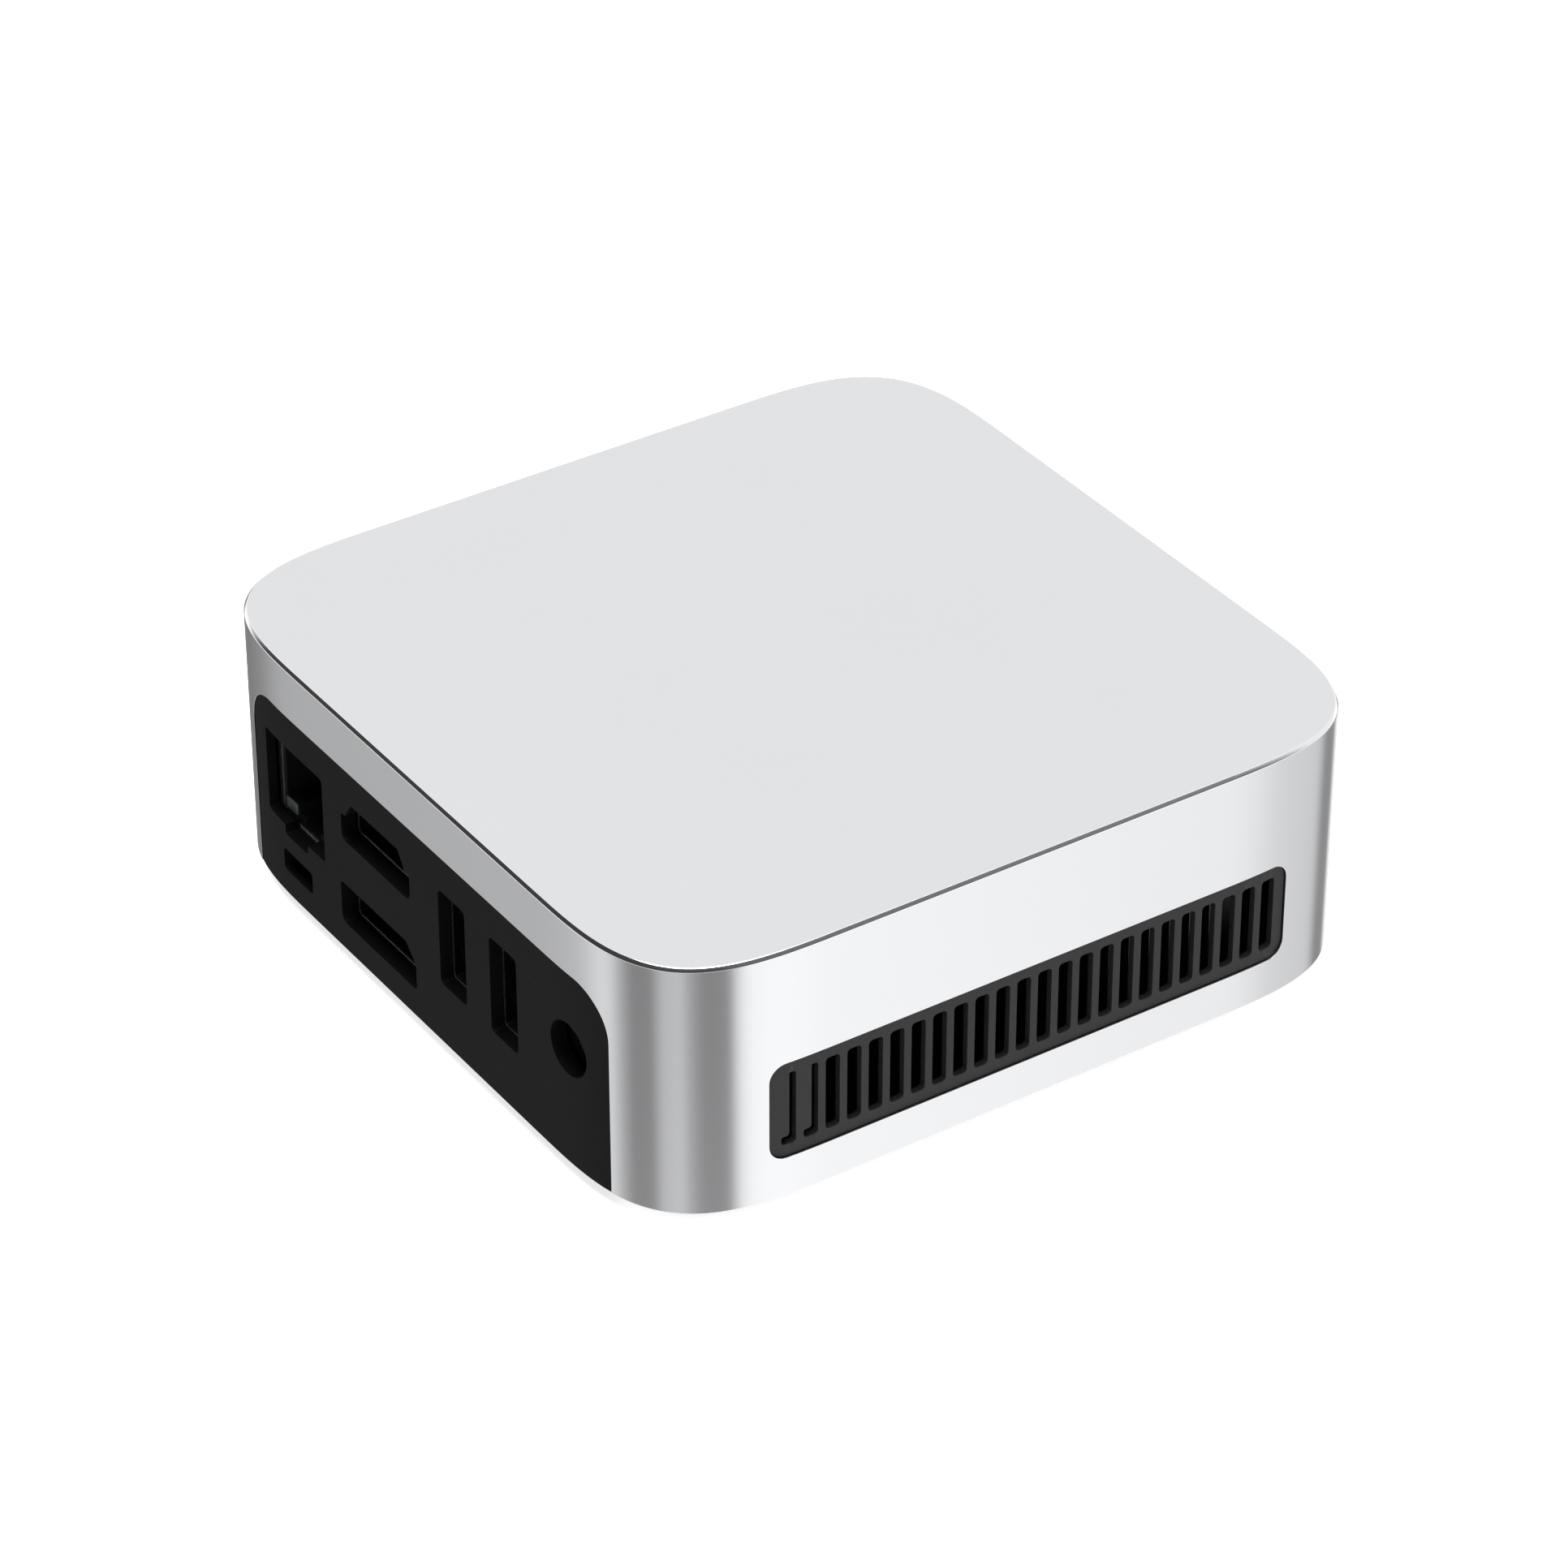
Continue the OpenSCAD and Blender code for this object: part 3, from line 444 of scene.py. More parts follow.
def cable_jacket(name):
    return grained(name, (2200, 2, 0.5), (0.01, 0.01, 0.01), (0.035, 0.035, 0.035), (0.42, 0.15),
                   (0.15, 0.02), (0.3, 1.0, 0.3), IOR=1.5)


# The finishes that several pieces share, with how each is made
SHARED = {
    "shell_metal": (sheet_metal, (0.62, 0.62, 0.63), 0.33),
    # shell_inner: near-black metal on a port shell's faces behind its mouth, painted shade for the dark
    # inside of the port
    "shell_inner": (sheet_metal, (0.03, 0.03, 0.031), 0.5),
    "shield_metal": (sheet_metal, (0.45, 0.45, 0.46), 0.36),
    "screw_steel": (sheet_metal, (0.45, 0.45, 0.46), 0.3),
    "zinc_plate": (sheet_metal, (0.16, 0.16, 0.165), 0.4),
    "heat_sink_metal": (blasted_metal, (0.16, 0.16, 0.165), 0.45, 2.0),
    "brass": (machined_brass,),
    "contact_gold": (gold_plate,),
    "tongue_plastic": (smooth_plastic, (0.006, 0.006, 0.0065), 0.42),
    "connector_black": (spark_plastic, (0.004, 0.004, 0.004), 0.6, 3600, 0.03, 0.3, 0.12),
    "connector_ivory": (smooth_plastic, (0.62, 0.57, 0.44), 0.4),
    "fan_plastic": (spark_plastic, (0.014, 0.014, 0.015), 0.45, 1800, 0.03, 0.3),
    "card_board": (circuit_board, (0.006, 0.018, 0.05)),
    "black_chip": (black_chip, (0.02, 0.02, 0.021)),
    "processor_package": (black_chip, (0.03, 0.05, 0.035), 0.35),
    "thermal_compound": (thermal_pad,),
    "cable_jacket": (cable_jacket,),
}


def shared(name):
    make, *values = SHARED[name]
    return make(name, *values)


# ---- Modelling ----


def clear_selection():
    if bpy.context.mode != "OBJECT":
        bpy.ops.object.mode_set(mode="OBJECT")
    bpy.ops.object.select_all(action="DESELECT")


def only(piece):
    clear_selection()
    piece.select_set(True)
    bpy.context.view_layer.objects.active = piece


@contextmanager
def editing(piece, kind="FACE"):
    """Edit mode on one piece, with nothing selected."""
    only(piece)
    bpy.ops.object.mode_set(mode="EDIT")
    bpy.ops.mesh.select_mode(type=kind)
    bpy.ops.mesh.select_all(action="DESELECT")
    yield
    bpy.ops.object.mode_set(mode="OBJECT")


def pick_faces(piece, test):
    mesh = bmesh.from_edit_mesh(piece.data)
    for face in mesh.faces:
        if test(face.calc_center_median() / MM, face.normal):
            face.select_set(True)
    bmesh.update_edit_mesh(piece.data)


def pick_edges(piece, test):
    """Selects the edges that pass a test on their ends, in mm, and their faces' normals."""
    mesh = bmesh.from_edit_mesh(piece.data)
    found = 0
    for edge in mesh.edges:
        if len(edge.link_faces) != 2:
            continue
        ends = [vert.co / MM for vert in edge.verts]
        if test(ends, [face.normal for face in edge.link_faces]):
            edge.select_set(True)
            found += 1
    bmesh.update_edit_mesh(piece.data)
    return found


def on_plane(axis, place):
    """A test for edges that lie in a plane square to an axis."""
    index = "XYZ".index(axis)
    return lambda ends, normals: all(abs(p[index] - place) < 0.01 for p in ends)


def bevel(piece, test, width, steps=2):
    """Rounds or chamfers the edges that pass the test, by a width in mm."""
    with editing(piece, "EDGE"):
        if not pick_edges(piece, test):
            raise RuntimeError(f"{piece.name}: no edge to bevel")
        bpy.ops.mesh.bevel(offset_type="OFFSET", offset=width * MM, segments=steps,
                           profile=0.5, affect="EDGES", clamp_overlap=True)


def bevel_all(piece, width, steps=2, angle=40):
    """Rounds every sharp edge of a piece with a modifier."""
    only(piece)
    rounding = piece.modifiers.new("Rounding", "BEVEL")
    rounding.width = width * MM
    rounding.segments = steps
    rounding.limit_method = "ANGLE"
    rounding.angle_limit = math.radians(angle)
    bpy.ops.object.modifier_apply(modifier=rounding.name)


def placed(axis, a, b, along):
    """A profile's point in space, in metres."""
    if axis == "X":
        return Vector((along, a, b)) * MM
    if axis == "Y":
        return Vector((a, along, b)) * MM
    return Vector((a, b, along)) * MM


def prism(name, path, axis, start, end):
    """A profile drawn from a ring of points and pulled out along an axis, all in mm."""
    clear_selection()
    bpy.ops.mesh.primitive_circle_add(vertices=len(path), radius=0.01, fill_type="NGON")
    piece = bpy.context.object
    piece.name = piece.data.name = name
    for vertex, (a, b) in zip(piece.data.vertices, path):
        vertex.co = placed(axis, a, b, start)
    pull = placed(axis, 0, 0, end - start)
    with editing(piece):
        bpy.ops.mesh.select_all(action="SELECT")
        bpy.ops.mesh.extrude_region_move(TRANSFORM_OT_translate={"value": pull})
        bpy.ops.mesh.select_all(action="SELECT")
        bpy.ops.mesh.normals_make_consistent(inside=False)
    return piece


def tool(path, axis, start, end):
    return prism("tool", path, axis, start, end)


def joined(name, *pieces):
    """One piece made of several separate shells."""
    only(pieces[0])
    for other in pieces[1:]:
        other.select_set(True)
    if len(pieces) > 1:
        bpy.ops.object.join()
    piece = bpy.context.view_layer.objects.active
    piece.name = piece.data.name = name
    return piece


def shape(piece, operation, *tools):
    """Cuts, adds or keeps what the tools cover, and removes them."""
    for tool in tools:
        only(piece)
        change = piece.modifiers.new("Shape", "BOOLEAN")
        change.operation = operation
        change.solver = "EXACT"
        change.object = tool
        bpy.ops.object.modifier_apply(modifier=change.name)
        bpy.data.objects.remove(tool, do_unlink=True)
    return piece


def cut(piece, *tools):
    return shape(piece, "DIFFERENCE", *tools)


def copied(piece, name, change):
    """A copy with a mesh of its own, each vertex moved by change. Place is in mm."""
    other = piece.copy()
    other.data = piece.data.copy()
    other.name = other.data.name = name
    bpy.context.collection.objects.link(other)
    for vertex in other.data.vertices:
        vertex.co = Vector(change(vertex.co / MM)) * MM
    return other


def turned_out(piece):
    """Points every face outwards, after a mirrored copy."""
    with editing(piece):
        bpy.ops.mesh.select_all(action="SELECT")
        bpy.ops.mesh.normals_make_consistent(inside=False)
    return piece


def merged(piece, distance=0.002):
    with editing(piece, "VERT"):
        bpy.ops.mesh.select_all(action="SELECT")
        bpy.ops.mesh.remove_doubles(threshold=distance * MM)
    return piece


def finished(piece, body, slot, material, *nodes, angle=28):
    """Smooths a piece, gives it its finish and sets it on its body."""
    only(piece)
    bpy.ops.object.shade_smooth_by_angle(angle=math.radians(angle))
    weights = piece.modifiers.new("Even shading", "WEIGHTED_NORMAL")
    weights.keep_sharp = True
    weights.weight = 60
    bpy.ops.object.modifier_apply(modifier=weights.name)
    materials = material if isinstance(material, list) else [material]
    keep = [face.material_index for face in piece.data.polygons]
    piece.data.materials.clear()
    for item in materials:
        piece.data.materials.append(item)
    for face, index in zip(piece.data.polygons, keep):
        face.material_index = min(index, len(materials) - 1)
    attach(piece, body)
    if nodes:
        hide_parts(*nodes)
    return piece


def set_finish(piece, index, test):
    """Gives the faces that pass a test another of the piece's finishes."""
    while len(piece.data.materials) <= index:
        piece.data.materials.append(None)
    for face in piece.data.polygons:
        if test(face.center / MM, face.normal):
            face.material_index = index


# ---- Profiles ----


def rounded_path(points, radii, cuts=5):
    """A closed path with each corner rounded to its own radius."""
    path = []
    count = len(points)
    for i, (point, radius) in enumerate(zip(points, radii)):
        here = Vector(point)
        if radius <= 0:
            path.append((here.x, here.y))
            continue
        back = (Vector(points[i - 1]) - here).normalized()
        on = (Vector(points[(i + 1) % count]) - here).normalized()
        half_turn = math.acos(max(-1.0, min(1.0, back.dot(on)))) / 2
        centre = here + (back + on).normalized() * radius / math.sin(half_turn)
        reach = radius / math.tan(half_turn)
        first = here + back * reach - centre
        last = here + on * reach - centre
        start = math.atan2(first.y, first.x)
        turn = (math.atan2(last.y, last.x) - start + math.pi) % (2 * math.pi) - math.pi
        for k in range(cuts + 1):
            angle = start + turn * k / cuts
            path.append((centre.x + radius * math.cos(angle), centre.y + radius * math.sin(angle)))
    return path


def rectangle(x, z, width, height, radius, cuts=5):
    w, h = width / 2, height / 2
    points = [(x - w, z - h), (x + w, z - h), (x + w, z + h), (x - w, z + h)]
    return rounded_path(points, [radius] * 4, cuts)


def disc(x, z, radius, cuts=48):
    return [(x + radius * math.cos(2 * math.pi * k / cuts), z + radius * math.sin(2 * math.pi * k / cuts))
            for k in range(cuts)]


def strip(points, thick):
    """A thin bent leaf: a line of points given a thickness."""
    left, right = [], []
    for i, point in enumerate(points):
        before = Vector(points[max(i - 1, 0)])
        after = Vector(points[min(i + 1, len(points) - 1)])
        ahead = (after - before).normalized()
        side = Vector((-ahead.y, ahead.x)) * thick / 2
        left.append(tuple(Vector(point) + side))
        right.append(tuple(Vector(point) - side))
    return left + right[::-1]


def box_piece(name, low, high, soften=0.0, steps=2):
    """A block between two corners, with softened edges."""
    path = [(low[0], low[1]), (high[0], low[1]), (high[0], high[1]), (low[0], high[1])]
    piece = prism(name, path, "Z", low[2], high[2])
    if soften:
        bevel_all(piece, soften, steps)
    return piece


def body_corner(sizes, inset):
    """One corner of the body's outline with its outward directions, drawn in by inset."""
    flat = HALF - sizes.reach
    points = []
    for i in range(sizes.cuts + 1):
        s = i / sizes.cuts
        angle = math.pi / 2 * (s - 0.85 * math.sin(2 * math.pi * s) / (2 * math.pi))
        if i in (0, sizes.cuts):
            u, v = (1.0, 0.0) if i == 0 else (0.0, 1.0)
        else:
            ratio = math.tan(angle) ** (1 / (sizes.power - 1))
            u = (1 + ratio ** sizes.power) ** (-1 / sizes.power)
            v = ratio * u
        points.append((flat + sizes.reach * u - inset * math.cos(angle),
                       flat + sizes.reach * v - inset * math.sin(angle)))
    return points


def body_outline(sizes, inset):
    corner = body_corner(sizes, inset)
    turns = (lambda p: p, lambda p: (-p[1], p[0]), lambda p: (-p[0], -p[1]), lambda p: (p[1], -p[0]))
    return [turn(p) for turn in turns for p in corner]


def outward(sizes, point):
    """The body wall's outward direction at a point."""
    flat = HALF - sizes.reach
    u = max(0.0, abs(point.x) - flat)
    v = max(0.0, abs(point.y) - flat)
    if u == 0 and v == 0:
        u, v = (1.0, 0.0) if abs(point.x) > abs(point.y) else (0.0, 1.0)
    way = Vector((math.copysign(u ** (sizes.power - 1), point.x),
                  math.copysign(v ** (sizes.power - 1), point.y), 0))
    return way.normalized()


def rim_test(sizes, low=-1e9, high=1e9):
    """Edges where the outer face of a wall turns into the side of an opening or its own border."""

    def test(ends, normals):
        centre = (ends[0] + ends[1]) / 2
        if not low <= centre.z <= high:
            return False
        way = outward(sizes, centre)
        facing = [abs(n.z) < 0.2 and n.dot(way) for n in normals]
        out = [f is not False and f > 0.9 for f in facing]
        if sum(out) != 1:
            return False
        other = normals[1 - out.index(True)]
        return other.dot(way) < 0.35

    return test


def window_path(panel, grow):
    """The opening of the rear panel, open at the bottom of the body."""
    w = panel.width / 2 + grow
    top = TOP - panel.drop + grow
    low = BASE - 3
    points = [(-w, low), (w, low), (w, top), (-w, top)]
    radius = panel.radius + grow
    return rounded_path(points, [0, 0, radius, radius], 16)


def vent_path(vents, grow):
    return rectangle(vents.offset, BASE + vents.rise + vents.height / 2,
                     vents.width + 2 * grow, vents.height + 2 * grow, vents.radius + grow, 8)


# ---- Ports ----


def network_paths():
    body = rectangle(NETWORK_X, DECK - 6.35, 14, 11.9, 0.5)
    tab = rectangle(NETWORK_X, DECK - 12.2, 5.5, 2.8, 0.4)
    return body, tab


def upper_video_path(grow):
    low, shoulder, high = DECK - 6.2 - grow, DECK - 2.5 + grow, DECK - 0.2 + grow
    wide, ledge, narrow = 7.9 + grow, 6.9 + grow / 2, 5.4 + grow / 2
    right = [(wide, low), (wide, shoulder), (ledge, shoulder), (narrow, high)]
    radii = [1.0, 0.3, 0.25, 0.4]
    points = [(VIDEO_X - x, z) for x, z in right][::-1]
    points = [(VIDEO_X + x, z) for x, z in right] + points
    return rounded_path(points, [max(0.1, r + grow * 0.7) for r in radii + radii[::-1]])


def lower_video_path(grow):
    low, high, wide, slope = DECK - 18.6 - grow, DECK - 12.7 + grow, 8.7 + grow, 2.2 + grow / 2
    points = [(-wide, low), (wide, low), (wide, high), (slope - wide, high), (-wide, high - slope)]
    radii = [0.6, 1.0, 0.5, 0.4, 0.4]
    return rounded_path([(VIDEO_X + x, z) for x, z in points], [max(0.1, r + grow * 0.7) for r in radii])


def sleeve(name, outer, inner, start, end, closed=None):
    """A bent sheet-metal sleeve along Y, with an end wall if closed is its thickness."""
    piece = prism(name, outer, "Y", start, end)
    floor = start + closed if closed else start - 1
    return cut(piece, tool(inner, "Y", floor, end + 1))


# ---- One operator for each piece or group ----


class Maker(bpy.types.Operator):
    bl_options = {"REGISTER", "UNDO"}

    def execute(self, context):
        scene = context.scene
        self.body = scene.minipc_housing
        self.panel = scene.minipc_panel
        self.vents = scene.minipc_vents
        self.looks = scene.minipc_finishes
        self.studio = scene.minipc_studio
        self.make()
        clear_selection()
        return {"FINISHED"}


class MINIPC_OT_housing(Maker):
    """Body: roof and walls in one, chamfered and cut for the panel, the vents and the front ports"""
    bl_idname = "minipc.housing"
    bl_label = "Housing"

    def make(self):
        body, panel, vents = self.body, self.panel, self.vents
        shell = prism("housing", body_outline(body, 0), "Z", BASE, TOP)
        bevel(shell, on_plane("Z", TOP), body.edge, 1)
        roof_z = TOP - body.roof
        cut(shell, tool(body_outline(body, body.wall), "Z", BASE - 2, roof_z))
        cut(shell, tool(window_path(panel, 0), "Y", HALF - 12, HALF + 2))
        side = tool(vent_path(vents, 0), "X", -HALF - 2, -HALF + 8)
        other = turned_out(copied(side, "tool", lambda p: (-p.x, p.y, p.z)))
        cut(shell, side, other)
        front = (-HALF - 1, -HALF + 5)
        holes = [tool(rectangle(x, USB_FRONT_Z, *DATA_CUT), "Y", *front)
                 for x in USB_FRONT_X]
        holes.append(tool(disc(AUDIO_X, AUDIO_Z, 2.75), "Y", *front))
        holes.append(tool(disc(BUTTON_X, BUTTON_Z, BUTTON_R + 0.08, 64), "Y", *front))
        holes.append(tool(disc(LIGHT_X, BUTTON_Z, 1.05, 32), "Y", *front))
        cut(shell, joined("tool", *holes))
        merged(shell, 0.004)
        bevel(shell, rim_test(body, BASE - 1, TOP - 2), body.lip, 4)
        bevel(shell, lambda ends, normals: all(p.z > TOP - body.edge - 0.05 for p in ends)
              and normals[0].angle(normals[1]) > 0.5, body.flank, 3)
        set_finish(shell, 1, lambda p, n: p.z > TOP - body.edge - 0.2 and 0.02 < n.z < 0.998)
        set_finish(shell, 1, lambda p, n: p.z < TOP - 2 and 0.1 < n.dot(outward(body, p)) < 0.97
                   and p.xy.length > HALF - 8)
        looks = self.looks
        metal = blasted_metal("body_metal", looks.metal[:], looks.metal_rough)
        cut_edge = polished_metal("cut_edge", shade(looks.metal[:], 1.1))
        finished(shell, "chassis", "anodised_aluminium", [metal, cut_edge], "housing")
        self.posts(roof_z, metal)

    def posts(self, roof_z, metal):
        """Screw posts under the roof, that the board hangs on."""
        x, y = POST_X, POST_Y
        low = DECK + 1.6
        post = prism("roof_post_1", disc(x, y, 3.0, 40), "Z", low, roof_z + 0.3)
        cut(post, tool(disc(x, y, 1.25, 24), "Z", low - 1, low + 5.5))
        bevel(post, on_plane("Z", low), 0.15, 1)
        posts = [post]
        for k, (sx, sy) in enumerate(((-1, 1), (-1, -1), (1, -1)), 2):
            posts.append(turned_out(copied(post, f"roof_post_{k}", lambda p: (sx * p.x, sy * p.y, p.z))))
        for piece in posts:
            finished(piece, "chassis", "anodised_aluminium", metal, "housing")


class MINIPC_OT_rear_panel(Maker):
    """Black rear panel with its port openings"""
    bl_idname = "minipc.rear_panel"
    bl_label = "Rear panel"

    def make(self):
        body, panel = self.body, self.panel
        plate = prism("rear_panel", body_outline(body, panel.gap), "Z", BASE, TOP - 5)
        cut(plate, tool(body_outline(body, panel.gap + panel.thick), "Z", BASE - 1, TOP))
        shape(plate, "INTERSECT", tool(window_path(panel, -panel.gap), "Y", HALF - 12, HALF + 2))
        self.ports(plate)
        merged(plate, 0.004)
        bevel(plate, rim_test(body, BASE - 1, TOP), panel.rim, 2)
        around = [rectangle(NETWORK_X, DECK - 6.95, 15.6, 14.7, 0.8),
                  rectangle(NETWORK_X, DECK - 17.4, 8.6, 4.6, 0.8),
                  upper_video_path(0.8), lower_video_path(0.8), disc(POWER_X, POWER_Z, 4.3, 64)]
        around += [rectangle(x, USB_MID, 7.4, 14.9, 0.8) for x in USB_REAR_X]
        back = HALF - panel.gap - panel.thick + 0.02
        collars = joined("collars", *[prism("collar", path, "Y", PORT_FACE + 0.03, back) for path in around])
        self.ports(collars)
        plate = joined("rear_panel", plate, collars)
        plastic = spark_plastic("panel_plastic", self.looks.panel[:], 0.6, 3200, 0.03, 0.3, 0.085)
        finished(plate, "chassis", "panel_plastic", plastic, "rear_panel")
        plate_metal = sheet_metal("plate_metal", (0.32, 0.32, 0.33), 0.35)
        guard = box_piece("lock_plate", (NETWORK_X - 6, HALF - 2.9, COVER_TOP + 0.1),
                          (NETWORK_X + 6, HALF - 2.1, DECK - 15))
        cut(guard, tool(rectangle(NETWORK_X, LOCK_Z, *LOCK_SLOT), "Y", HALF - 5, HALF))
        foot = box_piece("foot", (NETWORK_X - 6, HALF - 9.5, COVER_TOP + 0.05),
                         (NETWORK_X + 6, HALF - 2.9, COVER_TOP + 0.9))
        finished(joined("lock_plate", guard, foot), "chassis", "screw_steel", plate_metal, "lock_plate")

    @staticmethod
    def ports(piece):
        """Cuts every rear opening through a piece."""
        through = (HALF - 12, HALF + 2)
        for path in network_paths():
            cut(piece, tool(path, "Y", *through))
        paths = [rectangle(NETWORK_X, LOCK_Z, *LOCK_SLOT), upper_video_path(0), lower_video_path(0),
                 disc(POWER_X, POWER_Z, POWER_HOLE, 64)]
        paths += [rectangle(x, USB_MID, *DATA_CUT_UPRIGHT) for x in USB_REAR_X]
        cut(piece, joined("tool", *[tool(path, "Y", *through) for path in paths]))


class MINIPC_OT_side_grilles(Maker):
    """Slotted grilles that fill the two side vents"""
    bl_idname = "minipc.side_grilles"
    bl_label = "Side grilles"

    def make(self):
        body, vents, gap = self.body, self.vents, self.panel.gap
        grille = prism("side_grille_left", body_outline(body, vents.recess), "Z", BASE + 1, TOP - 6)
        cut(grille, tool(body_outline(body, vents.recess + vents.thick), "Z", BASE, TOP))
        shape(grille, "INTERSECT", tool(vent_path(vents, -gap), "X", -HALF - 2, -HALF + 8))
        mid = BASE + vents.rise + vents.height / 2
        tools = []
        for i in range(vents.slots):
            y = vents.offset + ((vents.slots - 1) / 2 - i) * vents.pitch
            tools.append(tool(self.slot(vents, y, mid, i < 2), "X", -HALF - 1, -HALF + 6))
        cut(grille, joined("tool", *tools))
        merged(grille, 0.004)
        bevel(grille, rim_test(body), 0.1, 2)
        other = turned_out(copied(grille, "side_grille_right", lambda p: (-p.x, p.y, p.z)))
        plastic = spark_plastic("grille_plastic", self.looks.grille[:], 0.5, 3600, 0.02, 0.12, 0.25)
        finished(grille, "chassis", "grille_plastic", plastic, "side_grille_left")
        finished(other, "chassis", "grille_plastic", plastic, "side_grille_right")

    @staticmethod
    def slot(vents, y, z, closed):
        """One slot's outline. The two nearest the rear are partly closed, which leaves an L."""
        w, h = vents.slot_w / 2, vents.slot_h / 2
        if not closed:
            return rectangle(y, z, 2 * w, 2 * h, 0.5, 4)
        inner, ledge = y - w + 0.9, z - h + 1.15
        points = [(y - w, z - h), (y + w, z - h), (y + w, ledge), (inner, ledge), (inner, z + h),
                  (y - w, z + h)]
        return rounded_path(points, [0.5, 0.45, 0.25, 0.45, 0.2, 0.4], 4)


class MINIPC_OT_bottom(Maker):
    """Bottom cover with its air intake, and the four rubber feet"""
    bl_idname = "minipc.bottom"
    bl_label = "Bottom cover and feet"

    def make(self):
        body = self.body
        low, high = BASE, COVER_TOP
        plate = prism("bottom_cover", body_outline(body, body.wall + 0.15), "Z", low, high)
        bevel(plate, on_plane("Z", low), 0.25, 2)
        slots = []
        for i in range(-7, 8):
            reach = 2 * math.sqrt(27 * 27 - (3.6 * i) ** 2)
            slots.append(tool(rectangle(3.6 * i, FAN_Y, 1.8, reach, 0.89, 6), "Z", low - 1, high + 2))
        feet_at = [(x * (HALF - 19.5), y * (HALF - 13.5)) for x in (-1, 1) for y in (-1, 1)]
        screws_at = [(x * POST_X, y * POST_Y) for x in (-1, 1) for y in (-1, 1)]
        slots += [tool(disc(x, y, 5.6, 64), "Z", low - 1, low + 0.8) for x, y in feet_at]
        for x, y in screws_at:
            sink = tool(disc(x, y, 1.4, 40), "Z", low - 1, high + 1)
            cone = prism("cone", disc(x, y, 2.55, 40), "Z", low - 0.5, low + 1.3)
            with editing(cone):
                pick_faces(cone, lambda p, n: n.z > 0.9)
                bpy.ops.transform.resize(value=(0.5, 0.5, 1.0), center_override=(x * MM, y * MM, 0))
            slots.append(shape(sink, "UNION", cone))
        slots += [tool(disc(0, s * INSERT_Y, 2.1, 40), "Z", low - 1, high + 3) for s in (-1, 1)]
        cut(plate, joined("tool", *slots))
        merged(plate, 0.004)
        bevel(plate, lambda ends, normals: all(abs(p.z - low) < 0.01 for p in ends)
              and min(n.z for n in normals) < -0.9 and max(n.z for n in normals) > -0.2
              and max(p.xy.length for p in ends) < HALF - 1.9, 0.15, 1)
        ring = prism("ring", disc(0, FAN_Y, 31.6, 96), "Z", high - 0.2, high + 1.2)
        cut(ring, tool(disc(0, FAN_Y, 30.2, 96), "Z", high - 2, high + 3))
        bosses = []
        for s in (-1, 1):
            boss = prism("boss", disc(0, s * INSERT_Y, 3.6, 40), "Z", high - 0.2, high + 2)
            bosses.append(cut(boss, tool(disc(0, s * INSERT_Y, 2.1, 40), "Z", high - 1, high + 3)))
        plate = joined("bottom_cover", plate, ring, *bosses)
        plastic = spark_plastic("cover_plastic", (0.022, 0.022, 0.024), 0.55, 2200, 0.05, 0.35)
        finished(plate, "chassis", "cover_plastic", plastic, "bottom_cover")
        self.feet(feet_at)

    def feet(self, places):
        x, y = places[0]
        foot = prism("foot_1", disc(x, y, 5.5, 64), "Z", 0, BASE + 0.8)
        centre = (x * MM, y * MM, 0)
        with editing(foot):
            pick_faces(foot, lambda p, n: n.z < -0.9)
            bpy.ops.mesh.inset(thickness=1.9 * MM)
            bpy.ops.mesh.inset(thickness=0.12 * MM, depth=-0.35 * MM)
            bpy.ops.mesh.inset(thickness=1.3 * MM)
            bpy.ops.mesh.inset(thickness=0.12 * MM, depth=0.3 * MM)
            bpy.ops.transform.resize(value=(0.96, 0.96, 1.0), center_override=centre)
        bevel(foot, lambda ends, normals: all(p.z < 0.01 for p in ends)
              and min((p.xy - Vector((x, y))).length for p in ends) > 5.4, 0.9, 5)
        feet = [foot]
        for k, (fx, fy) in enumerate(places[1:], 2):
            feet.append(copied(foot, f"foot_{k}", lambda p: (p.x + fx - x, p.y + fy - y, p.z)))
        for piece in feet:
            finished(piece, "chassis", "foot_rubber", rubber("foot_rubber", self.looks.rubber[:]),
                     "rubber_feet", angle=35)


